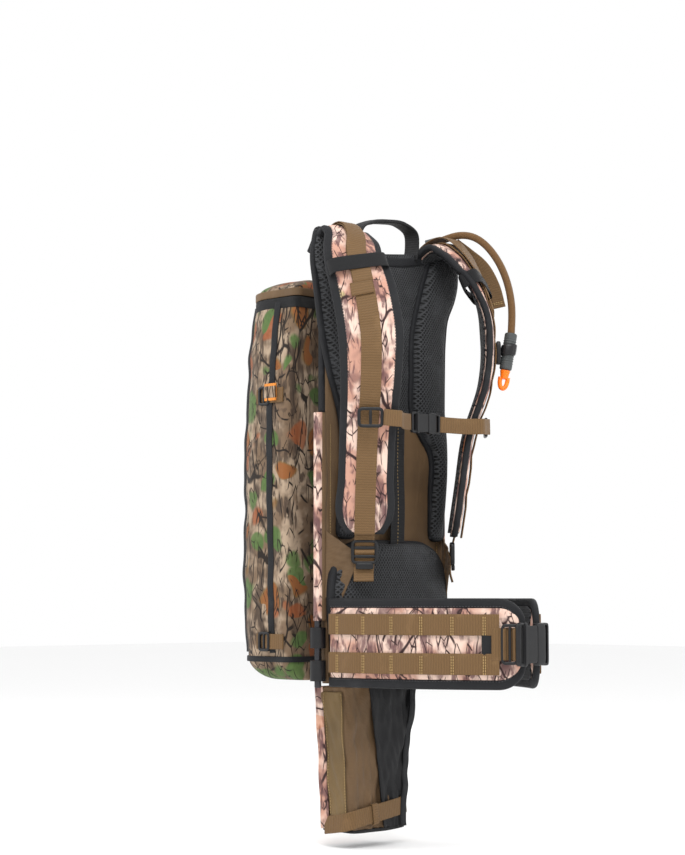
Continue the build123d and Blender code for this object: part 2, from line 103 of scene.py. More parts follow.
def spline(points: Array, count: int) -> Array:
    """Smooth curve through points, evenly spaced along its chords.

    Each stretch is a cubic whose end slopes are the central differences over chord length.

    Args:
        points: the points it passes, one per row; a row may hold extra values to carry along.
        count: how many points to return.

    Returns:
        An array of count rows.
    """
    p = np.asarray(points, float)
    t = np.concatenate([[0.0], np.cumsum(np.linalg.norm(np.diff(p[:, :3], axis=0), axis=1))])
    slope = np.gradient(p, t, axis=0)
    u = np.linspace(0.0, t[-1], count)
    k = np.clip(np.searchsorted(t, u, side="right") - 1, 0, len(t) - 2)
    h = (t[k + 1] - t[k])[:, None]
    s = ((u - t[k]) / h[:, 0])[:, None]
    return (
        p[k] * (1 + 2 * s) * (1 - s) ** 2
        + slope[k] * h * s * (1 - s) ** 2
        + p[k + 1] * s**2 * (3 - 2 * s)
        + slope[k + 1] * h * s**2 * (s - 1)
    )


def lengths(path: Array) -> Array:
    """Distance along a path at each of its points."""
    return np.concatenate([[0.0], np.cumsum(np.linalg.norm(np.diff(path, axis=0), axis=1))])


def superellipse(count: int, power_x: float, power_y: float) -> Array:
    """Closed section x = cos^power_x, y = sin^power_y with their signs kept.

    Args:
        count: number of points round it.
        power_x: 1 is round; smaller is squarer across.
        power_y: 1 is round; smaller is flatter on its faces.

    Returns:
        Points in a unit square about the origin.
    """
    a = np.linspace(0.0, 2 * math.pi, count, endpoint=False)
    c, s = np.cos(a), np.sin(a)
    return np.stack([np.sign(c) * np.abs(c) ** power_x, np.sign(s) * np.abs(s) ** power_y], axis=1)


def hook_section(reach: float, half: float, skin: float) -> Array:
    """Closed C of tape folded over an edge: x runs inwards from the edge, y is the face's normal.

    Args:
        reach: how far the tape lies on each face.
        half: half the thickness that it wraps.
        skin: the tape's own thickness.

    Returns:
        Points of the outer C, then of the inner C back again.
    """
    a = np.linspace(math.pi / 2, 3 * math.pi / 2, 7)
    outer = np.stack([np.cos(a) * (0.55 * half + skin), np.sin(a) * (half + skin)], axis=1)
    inner = np.stack([np.cos(a) * 0.5 * half, np.sin(a) * half], axis=1)[::-1]
    x = np.linspace(1.0, 0.12, 4) * reach
    lip = np.array([0.45, 1.0, 1.0, 1.0]) * skin
    top = np.stack([x, half + lip], axis=1)
    low = np.stack([x[::-1], -half - lip[::-1]], axis=1)
    under_top = np.stack([x[::-1], np.full(4, half)], axis=1)
    under_low = np.stack([x, np.full(4, -half)], axis=1)
    return np.concatenate([top, outer, low, under_low, inner, under_top])


def waves(points: Array, seed: int, size: float, count: int = 7) -> Array:
    """Soft wrinkles: the sum of sine waves with random directions and lengths about size.

    Args:
        points: places at which to read it, components last.
        seed: fixes the random draw.
        size: typical distance between crests.
        count: number of waves.

    Returns:
        Values from about -1 to 1.
    """
    draw = np.random.default_rng(seed)
    directions = unit(draw.normal(size=(count, 3)))
    rates = 2 * math.pi / (size * draw.uniform(0.6, 1.7, count))
    phases = draw.uniform(0, 2 * math.pi, count)
    angle = np.einsum("...c,kc->...k", points, directions) * rates + phases
    return np.sin(angle).sum(axis=-1) / math.sqrt(count) / 1.4


# --- Meshes ------------------------------------------------------------------------------------


def make_object(name: str, verts: Array, faces: list, uvs: Array | None, closed: bool) -> bpy.types.Object:
    """Mesh object at the origin from arrays.

    Args:
        name: the piece's name.
        verts: vertex places, one per row.
        faces: lists of vertex numbers.
        uvs: one pair per face corner, or None.
        closed: True turns every face outwards.

    Returns:
        The linked object, smooth shaded.
    """
    mesh = bpy.data.meshes.new(name)
    mesh.from_pydata(verts.tolist(), [], faces)
    if uvs is not None:
        layer = mesh.uv_layers.new(name="UVMap")
        layer.data.foreach_set("uv", uvs.astype(np.float32).ravel())
    mesh.polygons.foreach_set("use_smooth", np.ones(len(mesh.polygons), bool))
    if closed:
        bm = bmesh.new()
        bm.from_mesh(mesh)
        bmesh.ops.recalc_face_normals(bm, faces=bm.faces)
        bm.to_mesh(mesh)
        bm.free()
    mesh.update()
    obj = bpy.data.objects.new(name, mesh)
    bpy.context.scene.collection.objects.link(obj)
    return obj


def skin(name: str, rings: Array, loop: bool = False) -> bpy.types.Object:
    """Closed surface through rings of points, with its ends closed onto their middles.

    Args:
        name: the piece's name.
        rings: rings of points, shaped (along, around, 3); each ring closes on itself.
        loop: True joins the last ring to the first instead of closing the ends.

    Returns:
        The object, its UV map in metres: along, then around.
    """
    n, m, _ = rings.shape
    along = lengths(rings.mean(axis=1))
    if loop:
        along = np.append(along, along[-1] + np.linalg.norm(rings[0].mean(0) - rings[-1].mean(0)))
    middle = rings[n // 2]
    around = lengths(np.vstack([middle, middle[:1]]))
    i, j = np.meshgrid(np.arange(n if loop else n - 1), np.arange(m), indexing="ij")
    i, j = i.ravel(), j.ravel()
    i1, j1 = (i + 1) % n, (j + 1) % m
    quads = np.stack([i * m + j, i1 * m + j, i1 * m + j1, i * m + j1], axis=1)
    corner_u = np.stack([along[i], along[i + 1], along[i + 1], along[i]], axis=1)
    corner_v = np.stack([around[j], around[j], around[j + 1], around[j + 1]], axis=1)
    uvs = np.stack([corner_u, corner_v], axis=-1).reshape(-1, 2)
    verts = rings.reshape(-1, 3)
    faces = quads.tolist()
    if not loop:
        verts = np.vstack([verts, rings[0].mean(0), rings[-1].mean(0)])
        k = np.arange(m)
        first = np.stack([np.full(m, n * m), k, (k + 1) % m], axis=1)
        last = np.stack([np.full(m, n * m + 1), (n - 1) * m + (k + 1) % m, (n - 1) * m + k], axis=1)
        faces += first.tolist() + last.tolist()
        cap_v = np.stack([(around[k] + around[k + 1]) / 2, around[k], around[k + 1]], axis=1)
        end_a = np.stack([np.full((m, 3), along[0]), cap_v], axis=-1).reshape(-1, 2)
        end_b = np.stack([np.full((m, 3), along[-1]), cap_v[:, [0, 2, 1]]], axis=-1).reshape(-1, 2)
        uvs = np.vstack([uvs, end_a, end_b])
    return make_object(name, verts, faces, uvs, True)


def cloth_grid(name: str, grid: Array, thickness: float) -> bpy.types.Object:
    """Cloth wall: a grid of points and its copy set back along the surface, joined round the rim.

    Args:
        name: the piece's name.
        grid: points shaped (rows, columns, 3).
        thickness: distance between the two faces.

    Returns:
        A closed object.
    """
    normal = unit(np.cross(np.gradient(grid, axis=0), np.gradient(grid, axis=1)))
    back = (grid - normal * thickness)[:, ::-1]
    return skin(name, np.concatenate([grid, back], axis=1))


def subdivide(obj: bpy.types.Object, levels: int = 1) -> bpy.types.Object:
    """Add a subdivision surface of equal view and render levels, and return the object.

    Args:
        obj: the piece.
        levels: how many times each face is divided.

    Returns:
        The object.
    """
    modifier = obj.modifiers.new("smooth", "SUBSURF")
    modifier.levels = modifier.render_levels = levels
    return obj


def stitches(
    name: str, places: Array, along: Array, normal: Array, length: float = 2.6 * MM, radius: float = 0.42 * MM
) -> bpy.types.Object:
    """Thread lying on cloth: one small six-sided spindle for each stitch.

    Args:
        name: the piece's name.
        places: middles of the stitches, one per row.
        along: direction of each stitch.
        normal: the cloth's outward normal at each.
        length: length of one stitch.
        radius: the thread's radius.

    Returns:
        One object holding every stitch.
    """
    side = unit(np.cross(normal, along))
    lift = unit(np.cross(along, side))
    a = np.arange(6) / 6 * 2 * math.pi
    shape = [(-0.5, 0.35), (-0.2, 1.0), (0.2, 1.0), (0.5, 0.35)]
    rings = np.stack(
        [
            places[:, None] + along[:, None] * t * length
            + (
                side[:, None] * np.cos(a)[None, :, None] + lift[:, None] * np.sin(a)[None, :, None] * 0.8
            ) * radius * r
            for t, r in shape
        ],
        axis=1,
    )
    count = len(places)
    verts = rings.reshape(-1, 3)
    j = np.arange(6)
    quads = []
    for k in range(3):
        quads.append(
            np.stack([k * 6 + j, (k + 1) * 6 + j, (k + 1) * 6 + (j + 1) % 6, k * 6 + (j + 1) % 6], axis=1)
        )
    quads = (np.concatenate(quads)[None] + (np.arange(count) * 24)[:, None, None]).reshape(-1, 4).tolist()
    caps = [(base + np.arange(6)).tolist() for base in np.arange(count) * 24]
    caps += [(base + 18 + np.arange(6)).tolist() for base in np.arange(count) * 24]
    return make_object(name, verts, quads + caps, None, True)


# --- Finishes ------------------------------------------------------------------------------------

Colour = tuple[float, float, float]
Socket = bpy.types.NodeSocket


class Graph:
    """A material's node graph, with short calls for the nodes this pack's finishes use."""

    def __init__(self, name: str) -> None:
        """Start an empty material with its shader and output.

        Args:
            name: the finish's name.
        """
        self.material = bpy.data.materials.new(f"pack_{name}")
        self.material.use_nodes = True
        self.tree = self.material.node_tree
        self.tree.nodes.clear()
        self.shader = self.tree.nodes.new("ShaderNodeBsdfPrincipled")
        out = self.tree.nodes.new("ShaderNodeOutputMaterial")
        self.tree.links.new(self.shader.outputs[0], out.inputs[0])

    def node(self, kind: str, settings: dict | None = None, **inputs: object) -> bpy.types.Node:
        """Add a node.

        Args:
            kind: the node type after "ShaderNode".
            settings: attributes to set on the node.
            inputs: values or sockets for its inputs, by name with spaces as underscores.

        Returns:
            The node.
        """
        node = self.tree.nodes.new("ShaderNode" + kind)
        for key, value in (settings or {}).items():
            setattr(node, key, value)
        for key, value in inputs.items():
            self.put(node.inputs[key.replace("_", " ")], value)
        return node

    def put(self, socket: Socket, value: object) -> None:
        """Link a socket into an input, or set its value."""
        if isinstance(value, Socket):
            self.tree.links.new(value, socket)
        else:
            socket.default_value = value

    def place(self, scale: tuple = (1, 1, 1), turn: tuple = (0, 0, 0), uv: bool = False) -> Socket:
        """Object or UV coordinates, scaled and turned, as a vector socket."""
        coords = self.node("TexCoord").outputs["UV" if uv else "Object"]
        return self.node("Mapping", Vector=coords, Scale=scale, Rotation=turn).outputs[0]

    def noise(self, where: Socket, scale: float, detail: float = 3, bend: float = 0) -> Socket:
        """Noise value socket."""
        return self.node("TexNoise", Vector=where, Scale=scale, Detail=detail, Distortion=bend).outputs[0]

    def cells(self, where: Socket, scale: float, feature: str = "F1") -> bpy.types.Node:
        """Voronoi node."""
        return self.node("TexVoronoi", {"feature": feature}, Vector=where, Scale=scale)

    def step(self, value: Socket, low: float, high: float, top: float = 1.0) -> Socket:
        """Value rising from 0 at low to top at high, smoothly.

        Args:
            value: the value to step.
            low: where the rise starts.
            high: where it ends.
            top: the value it reaches.

        Returns:
            The stepped value.
        """
        settings = {"interpolation_type": "SMOOTHSTEP"}
        node = self.node("MapRange", settings)
        for index, item in enumerate((value, low, high, 0.0, top)):
            self.put(node.inputs[index], item)
        return node.outputs[0]

    def maths(self, operation: str, *values: object) -> Socket:
        """Math node's result.

        Args:
            operation: the node's operation.
            values: sockets or numbers to work on.

        Returns:
            The result.
        """
        node = self.node("Math", {"operation": operation})
        for index, value in enumerate(values):
            self.put(node.inputs[index], value)
        return node.outputs[0]

    def mix(self, share: object, first: object, second: object, blend: str = "MIX") -> Socket:
        """Colour between two colours.

        Args:
            share: share of the second colour.
            first: the first colour.
            second: the second colour.
            blend: how they blend.

        Returns:
            The mixed colour.
        """
        node = self.node("Mix", {"data_type": "RGBA", "blend_type": blend})
        for index, item in ((0, share), (6, first), (7, second)):
            if isinstance(item, tuple) and len(item) == 3:
                item = (*item, 1.0)
            self.put(node.inputs[index], item)
        return node.outputs[2]

    def bump(self, height: Socket, strength: float, depth: float, over: object = None) -> Socket:
        """Normal bent by a height, over another normal if one is given.

        Args:
            height: height value.
            strength: how strongly it bends.
            depth: depth in metres.
            over: a normal to bend, if any.

        Returns:
            The bent normal.
        """
        node = self.node("Bump", Height=height, Strength=strength, Distance=depth)
        if over is not None:
            self.put(node.inputs["Normal"], over)
        return node.outputs[0]

    def finish(self, **inputs: object) -> bpy.types.Material:
        """Set the shader's inputs by name and return the material."""
        for key, value in inputs.items():
            if isinstance(value, tuple) and len(value) == 3 and "Radius" not in key:
                value = (*value, 1.0)
            self.put(self.shader.inputs[key.replace("_", " ")], value)
        return self.material


@dataclass(frozen=True)
class Camouflage:
    """Printed brushed cloth: bark, twigs and leaves over a mottled ground."""

    name: str
    pale: Colour
    ground: Colour
    bark: Colour
    leaf: Colour
    leaf_share: float
    rust: Colour

    def make(self) -> bpy.types.Material:
        """Noise blotches for the ground and bark, cell edges for twigs, single cells for leaves."""
        g = Graph(self.name)
        where = g.place()
        bent = g.node("TexNoise", Vector=where, Scale=14.0, Detail=2.0).outputs[1]
        warped = g.mix(0.06, where, bent, "ADD")
        ground = g.mix(g.step(g.noise(where, 26, 3), 0.42, 0.58), self.ground, self.pale)
        ground = g.mix(g.step(g.noise(where, 60, 4), 0.5, 0.72, 0.6), ground, self.bark)
        for scale, turn in (((95, 95, 16), (0.45, 0.6, 0.2)), ((150, 150, 30), (-0.5, 0.25, 0.7))):
            streaks = g.place(scale, turn)
            bark = g.step(g.noise(streaks, 1.0, 4, 0.5), 0.5, 0.57, 0.85)
            patch = g.step(g.noise(where, scale[2] * 1.4, 2), 0.44, 0.56)
            ground = g.mix(g.maths("MULTIPLY", bark, patch), ground, self.bark)
        leaves = g.cells(warped, 34)
        pick = g.node("SeparateColor", Color=leaves.outputs["Color"])
        green = g.step(pick.outputs[0], 1.0 - self.leaf_share, 1.02 - self.leaf_share, 0.9)
        shape = g.step(leaves.outputs["Distance"], 0.62, 0.45)
        vein = g.mix(g.noise(where, 180, 2), self.leaf, tuple(c * 2.0 for c in self.leaf))
        ground = g.mix(g.maths("MULTIPLY", green, shape), ground, vein)
        rusty = g.step(pick.outputs[1], 1.0 - 0.5 * self.leaf_share, 1.02 - 0.5 * self.leaf_share, 0.8)
        ground = g.mix(g.maths("MULTIPLY", rusty, shape), ground, self.rust)
        dark = tuple(c * 0.28 for c in self.bark)
        for scale, width, turn in ((24, 0.03, 0.3), (45, 0.032, 1.1), (80, 0.04, 2.0)):
            lines = g.cells(
                g.mix(0.022, g.place((1, 1, 0.34), (turn * 0.5, turn * 0.4, turn)), bent, "ADD"), scale,
                "DISTANCE_TO_EDGE"
            )
            gate = g.step(g.noise(where, scale * 0.8, 1), 0.46, 0.54)
            twig = g.maths("MULTIPLY", g.step(lines.outputs[0], width, width * 0.35), gate)
            ground = g.mix(twig, ground, dark)
        ground = g.mix(g.noise(where, 900, 1), ground, (0.5, 0.5, 0.5), "OVERLAY")
        weave = g.noise(where, 1500, 2)
        soft = g.bump(g.noise(where, 70, 3), 0.25, 0.002)
        normal = g.bump(weave, 0.35, 0.0006, soft)
        return g.finish(
            Base_Color=ground, Roughness=0.86, Sheen_Weight=0.04, Specular_IOR_Level=0.3, Normal=normal
        )


@dataclass(frozen=True)
class Webbing:
    """Woven tape: ribs across it, a fine diagonal twill, and worn, lighter threads."""

    name: str
    colour: Colour
    shine: float = 0.05
    rib: float = 620.0

    def make(self) -> bpy.types.Material:
        """Ribs from a wave on the UV map's length, twill from a turned wave."""
        g = Graph(self.name)
        uv = g.place(uv=True)
        ribs = g.node(
            "TexWave", {"bands_direction": "X"}, Vector=uv, Scale=self.rib / 6.28, Distortion=1.0,
            Detail=1.0
        )
        turned = g.place((1, 1, 1), (0, 0, 0.9), uv=True)
        twill = g.node(
            "TexWave", {"bands_direction": "Y"}, Vector=turned, Scale=self.rib / 3.5, Distortion=2.0
        )
        fibre = g.noise(g.place((1, 5, 1), uv=True), 700, 3)
        tone = g.mix(
            g.step(fibre, 0.3, 0.8), tuple(c * 0.72 for c in self.colour),
            tuple(min(c * 1.35, 1) for c in self.colour)
        )
        tone = g.mix(g.maths("MULTIPLY", ribs.outputs[1], 0.35), tone, tuple(c * 0.45 for c in self.colour))
        wear = g.step(g.noise(g.place(), 35, 4), 0.55, 0.8, 0.35)
        tone = g.mix(wear, tone, tuple(min(c * 1.6 + 0.02, 1) for c in self.colour))
        height = g.maths("ADD", ribs.outputs[1], g.maths("MULTIPLY", twill.outputs[1], 0.5))
        normal = g.bump(height, 0.5, 0.0006)
        return g.finish(
            Base_Color=tone, Roughness=0.66, Sheen_Weight=self.shine, Specular_IOR_Level=0.3, Normal=normal
        )


@dataclass(frozen=True)
class SpacerMesh:
    """Knitted spacer mesh: slanting rows of small open cells over a darker ground."""

    name: str
    thread: Colour
    ground: Colour
    pitch: float = 3.8 * MM

    def make(self) -> bpy.types.Material:
        """Cells from the product of two slanted waves in the face's plane."""
        g = Graph(self.name)
        rate = 1.0 / self.pitch
        parts = g.node("SeparateXYZ", Vector=g.place())
        wide = g.maths("ADD", parts.outputs[0], g.maths("MULTIPLY", parts.outputs[1], 0.35))
        high = parts.outputs[2]
        waves_2 = []
        for sign in (1.0, -1.0):
            slanted = g.maths("ADD", g.maths("MULTIPLY", wide, sign * 0.9), g.maths("MULTIPLY", high, 0.62))
            waves_2.append(g.maths("SINE", g.maths("MULTIPLY", slanted, 2 * math.pi * rate)))
        lattice = g.maths("MAXIMUM", waves_2[0], waves_2[1])
        open_cell = g.step(g.maths("MULTIPLY", lattice, -1.0), -0.75, 0.1)
        tone = g.mix(open_cell, self.thread, self.ground)
        tone = g.mix(
            g.step(g.noise(g.place(), 40, 3), 0.45, 0.75, 0.35), tone, tuple(c * 1.6 for c in self.thread)
        )
        normal = g.bump(lattice, 0.8, 0.0009, g.bump(g.noise(g.place(), 30, 2), 0.2, 0.003))
        return g.finish(
            Base_Color=tone, Roughness=0.75, Sheen_Weight=0.01, Specular_IOR_Level=0.35, Normal=normal
        )


@dataclass(frozen=True)
class PlainCloth:
    """Coated nylon cloth: a tight square weave with soft creases."""

    name: str
    colour: Colour
    crease: float = 0.5
    shine: float = 0.2

    def make(self) -> bpy.types.Material:
        """Weave from two fine waves, creases from bent noise."""
        g = Graph(self.name)
        where = g.place()
        long = g.node("TexWave", {"bands_direction": "Z"}, Vector=where, Scale=210.0, Distortion=0.8)
        wide = g.node("TexWave", {"bands_direction": "DIAGONAL"}, Vector=where, Scale=170.0, Distortion=0.8)
        weave = g.maths("ADD", long.outputs[1], wide.outputs[1])
        folds = g.noise(g.place((1, 1, 0.5)), 26, 4, 1.4)
        tone = g.mix(
            g.step(g.noise(where, 14, 4), 0.35, 0.7), tuple(c * 0.82 for c in self.colour),
            tuple(min(c * 1.18, 1) for c in self.colour)
        )
        tone = g.mix(g.step(weave, 0.5, 1.6, 0.25), tone, tuple(c * 0.6 for c in self.colour))
        normal = g.bump(weave, 0.2, 0.0004, g.bump(folds, self.crease, 0.004))
        return g.finish(
            Base_Color=tone, Roughness=0.7, Sheen_Weight=self.shine, Specular_IOR_Level=0.35, Normal=normal
        )


@dataclass(frozen=True)
class Moulded:
    """Moulded plastic or rubber: fine grain, a soft gloss and slightly worn high spots."""

    name: str
    colour: Colour
    rough: float = 0.38
    grain: float = 0.25
    metal: float = 0.0
    glow: float = 0.0

    def make(self) -> bpy.types.Material:
        """Grain and smudges from noise at two sizes."""
        g = Graph(self.name)
        where = g.place()
        tone = g.mix(
            g.step(g.noise(where, 90, 4), 0.5, 0.8, 0.5), self.colour,
            tuple(min(c * 1.6 + 0.002, 1) for c in self.colour)
        )
        rough = g.step(g.noise(where, 60, 3), 0.2, 0.9, 1.0)
        rough = g.maths("MULTIPLY_ADD", rough, 0.22, self.rough - 0.08)
        normal = g.bump(g.noise(where, 1100, 2), self.grain, 0.0003)
        return g.finish(
            Base_Color=tone, Roughness=rough, Metallic=self.metal, Subsurface_Weight=self.glow,
            Specular_IOR_Level=0.35,
            Subsurface_Radius=(0.006, 0.003, 0.001), Normal=normal,
        )


BROWN = (0.150, 0.082, 0.030)
BLACK = (0.008, 0.008, 0.009)


class Finish(Enum):
    """Every finish on the pack."""

    CAMO_FACE = Camouflage(
        "camo_face", (0.72, 0.53, 0.44), (0.50, 0.27, 0.20), (0.13, 0.062, 0.062), (0.30, 0.24, 0.12), 0.05,
        (0.50, 0.17, 0.06)
    )
    CAMO_BAG = Camouflage(
        "camo_bag", (0.36, 0.27, 0.19), (0.16, 0.105, 0.065), (0.055, 0.036, 0.025), (0.045, 0.085, 0.022),
        0.45, (0.26, 0.07, 0.02)
    )
    BROWN_WEBBING = Webbing("brown_webbing", BROWN)
    BLACK_WEBBING = Webbing("black_webbing", BLACK, 0.01)
    BINDING = Webbing("black_binding", (0.009, 0.0095, 0.0115), 0.01, 1500.0)
    ELASTIC = Webbing("black_elastic", (0.006, 0.006, 0.007), 0.01, 2600.0)
    MESH = SpacerMesh("black_mesh", (0.036, 0.037, 0.040), (0.0010, 0.0010, 0.0010))
    BROWN_CLOTH = PlainCloth("brown_cloth", (0.125, 0.072, 0.032), 0.6, 0.05)
    DARK_CLOTH = PlainCloth("dark_cloth", (0.007, 0.007, 0.008), 0.5, 0.01)
    HOOK_TAPE = PlainCloth("hook_tape", (0.145, 0.092, 0.036), 0.9, 0.05)
    HOSE_COVER = Webbing("hose_cover", (0.17, 0.085, 0.028), 0.04, 2200.0)
    PLASTIC = Moulded("black_plastic", (0.006, 0.006, 0.007))
    SLEEVE = Moulded("grey_sleeve", (0.05, 0.055, 0.055), 0.55, 0.4)
    ORANGE = Moulded("orange_silicone", (0.95, 0.19, 0.01), 0.3, 0.1, 0.0, 0.25)
    ORANGE_TAPE = Webbing("orange_tape", (0.72, 0.24, 0.03))
    ROD = Moulded("frame_tube", (0.05, 0.05, 0.055), 0.28, 0.1, 0.9)
    THREAD = Moulded("thread", (0.36, 0.24, 0.10), 0.6)
    DARK_THREAD = Moulded("dark_thread", (0.05, 0.05, 0.055), 0.6)
    RESERVOIR = Moulded("reservoir_film", (0.35, 0.5, 0.6), 0.25)

    @property
    def material(self) -> bpy.types.Material:
        """The material, made the first time it is asked for."""
        return bpy.data.materials.get(f"pack_{self.value.name}") or self.value.make()


def dress(obj: bpy.types.Object, finish: Finish, body: str, slot: str, *nodes: str) -> bpy.types.Object:
    """Give a new piece its finish and body, and hide the nodes it stands for.

    Args:
        obj: the piece.
        finish: its material.
        body: the CAD body it rides on; an empty name leaves it riding on none.
        slot: not used.
        nodes: CAD nodes that it replaces.

    Returns:
        The piece.
    """
    obj.data.materials.clear()
    obj.data.materials.append(finish.material)
    if body:
        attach(obj, body)
    if nodes:
        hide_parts(*nodes)
    LOG.info("%s: %s on %s", obj.name, finish.name.lower(), body or "a blend")
    return obj


def keep_node(node: str, finish: Finish) -> None:
    """Give a CAD node that stays in view its finish.

    Args:
        node: the CAD node.
        finish: its finish.
    """
    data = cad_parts[node].data
    data.materials.clear()
    data.materials.append(finish.material)


# --- Surfaces used all over the pack ----------------------------------------------------------------


@dataclass
class Run:
    """A strap's course: places along it, directions across it and out of its face, and its half-width."""

    path: Array
    across: Array
    normal: Array
    half: Array

    @classmethod
    def through(cls, path: Array, across: Array, half: Array | float) -> Run:
        """Run along a path with its across direction squared to it.

        Args:
            path: places along the run.
            across: direction across it, for all places or each.
            half: half-width, for all places or each.

        Returns:
            The run.
        """
        along = unit(np.gradient(path, axis=0))
        across = np.broadcast_to(np.asarray(across, float), path.shape)
        across = unit(across - along * (across * along).sum(axis=1, keepdims=True))
        return cls(path, across, np.cross(along, across), np.broadcast_to(half, len(path)).astype(float))

    @property
    def along(self) -> Array:
        """Direction of the run at each place."""
        return unit(np.gradient(self.path, axis=0))

    def mirrored(self) -> Run:
        """The same run on the wearer's other side."""
        flip = np.array([-1.0, 1.0, 1.0])
        return Run(self.path * flip, self.across * flip, self.normal * flip, self.half)

    def moved(
        self, out: Array | float = 0.0, side: Array | float = 0.0, half: Array | float | None = None
    ) -> Run:
        """The run shifted out of its face and sideways, with a new half-width if one is given.

        Args:
            out: distance out of the face.
            side: distance across.
            half: new half-width, if any.

        Returns:
            The shifted run.
        """
        out = np.broadcast_to(out, len(self.path))[:, None]
        side = np.broadcast_to(side, len(self.path))[:, None]
        new_half = self.half if half is None else np.broadcast_to(half, len(self.path)).astype(float)
        return Run(self.path + self.normal * out + self.across * side, self.across, self.normal, new_half)

    def part(self, start: float, end: float, count: int = 0) -> Run:
        """The stretch between two shares of the run's length.

        Args:
            start: share where it starts.
            end: share where it ends.
            count: places along it; 0 keeps the spacing.

        Returns:
            The stretch.
        """
        n = len(self.path)
        count = count or max(int((end - start) * n), 6)
        where = np.linspace(start * (n - 1), end * (n - 1), count)
        both = np.hstack([self.path, self.across, self.normal, self.half[:, None]])
        cut = np.stack([np.interp(where, np.arange(n), column) for column in both.T], axis=1)
        return Run(cut[:, :3], unit(cut[:, 3:6]), unit(cut[:, 6:9]), cut[:, 9])

    def rings(self, section: Array, wide: Array, thick: Array) -> Array:
        """Sweep a unit section along the run.

        Args:
            section: closed unit section.
            wide: half-width at each place.
            thick: half-thickness at each place.

        Returns:
            Points, shaped (along, round, 3).
        """
        x = section[None, :, 0, None] * wide[:, None, None]
        y = section[None, :, 1, None] * thick[:, None, None]
        return self.path[:, None] + self.across[:, None] * x + self.normal[:, None] * y

    def pad(self, name: str, thick: float, edge: float, crown: float = 4.0) -> bpy.types.Object:
        """Foam strap with pressed, thin edges and rounded ends.

        Args:
            name: the piece's name.
            thick: full thickness at the middle.
            edge: the edges' share of that thickness.
            crown: how square the crown is across.

        Returns:
            The piece.
        """
        x = np.linspace(-1.0, 1.0, 25)
        y = edge + (1 - edge) * np.sqrt(np.clip(1 - (np.abs(x) / 0.84) ** crown, 0, 1))
        section = np.concatenate([np.stack([x, y], axis=1), np.stack([x[::-1], -y[::-1]], axis=1)])
        s = lengths(self.path)
        ends = np.minimum(s, s[-1] - s) / thick
        close = np.sqrt(1 - (1 - np.clip(ends, 0.02, 1)) ** 2)
        return skin(name, self.rings(section, self.half * (0.85 + 0.15 * close), thick / 2 * close))

    def tape(self, name: str, thick: float = 1.8 * MM, bow: float = 0.0) -> bpy.types.Object:
        """Flat tape with rounded selvedges.

        Args:
            name: the piece's name.
            thick: the tape's thickness.
            bow: the section's bow, in half-thicknesses.

        Returns:
            The piece.
        """
        section = superellipse(24, 0.35, 0.35)
        section = section + np.stack([np.zeros(24), bow * (1 - section[:, 0] ** 2)], axis=1)
        return skin(name, self.rings(section, self.half, np.full(len(self.path), thick / 2)))

    def binding(
        self, name: str, side: float, thick: Array | float, reach: float = 9 * MM
    ) -> bpy.types.Object:
        """Tape folded over one edge of the run.

        Args:
            name: the piece's name.
            side: which edge, -1 or 1 along across.
            thick: thickness that it wraps.
            reach: how far it lies on each face.

        Returns:
            The piece.
        """
        edge = self.path + self.across * (side * self.half)[:, None]
        return bound_edge(name, edge, -side * self.across, self.normal, thick, reach, False)

    def seam(self, name: str, side: float, out: Array | float, pitch: float = 3.6 * MM) -> bpy.types.Object:
        """A row of stitches along the run, side metres across from its middle line."""
        line = self.moved(out, side)
        return seam_along(name, line.path, line.normal, pitch)

    def bars(self, name: str, places: Array, out: float, reach: float) -> bpy.types.Object:
        """Double rows of stitches across the run at given distances along it.

        Args:
            name: the piece's name.
            places: distances along the run.
            out: distance out of the face.
            reach: half the length of a row.

        Returns:
            The rows of stitches.
        """
        s = lengths(self.path)
        rows = np.concatenate([places - 1.2 * MM, places + 1.2 * MM])
        both = np.hstack([self.path, self.across, self.normal])
        found = np.stack([np.interp(rows, s, column) for column in both.T], axis=1)
        side = np.arange(-reach, reach + 1e-6, 3.2 * MM)
        where = found[:, None, :3] + found[:, None, 3:6] * side[None, :, None] + found[:, None, 6:] * out
        across = np.broadcast_to(found[:, None, 3:6], where.shape)
        normal = np.broadcast_to(found[:, None, 6:], where.shape)
        return stitches(
            name, where.reshape(-1, 3), across.reshape(-1, 3), normal.reshape(-1, 3), 2.9 * MM, 0.62 * MM
        )


def bound_edge(
    name: str, edge: Array, inward: Array, normal: Array, thick: Array | float, reach: float, loop: bool
) -> bpy.types.Object:
    """Binding tape folded over an edge.

    Args:
        name: the piece's name.
        edge: places along the edge.
        inward: direction in from the edge at each.
        normal: the face's direction at each.
        thick: thickness that it wraps.
        reach: how far it lies on each face.
        loop: True when the edge closes on itself.

    Returns:
        The piece.
    """
    thick = np.broadcast_to(thick, len(edge))
    base = hook_section(1.0, 1.0, 0.0)
    full = hook_section(reach, 1.0, 0.0)
    outer = hook_section(reach, 0.0, 1.1 * MM)
    tall = np.stack([np.zeros(len(base)), base[:, 1]], axis=1)
    curl = base[:, 0] * (np.abs(base[:, 0]) < 0.56) * (base[:, 0] < 0.05)
    x = full[:, 0] * (base[:, 0] > 0.05)
    sections = np.stack([x, outer[:, 1]], axis=1)[None] + tall[None] * (thick[:, None, None] / 2)
    sections[:, :, 0] += curl[None] * thick[:, None] / 2 + np.minimum(outer[:, 0], 0)[None]
    rings = edge[:, None] + inward[:, None] * sections[:, :, :1] + normal[:, None] * sections[:, :, 1:]
    return skin(name, rings, loop)


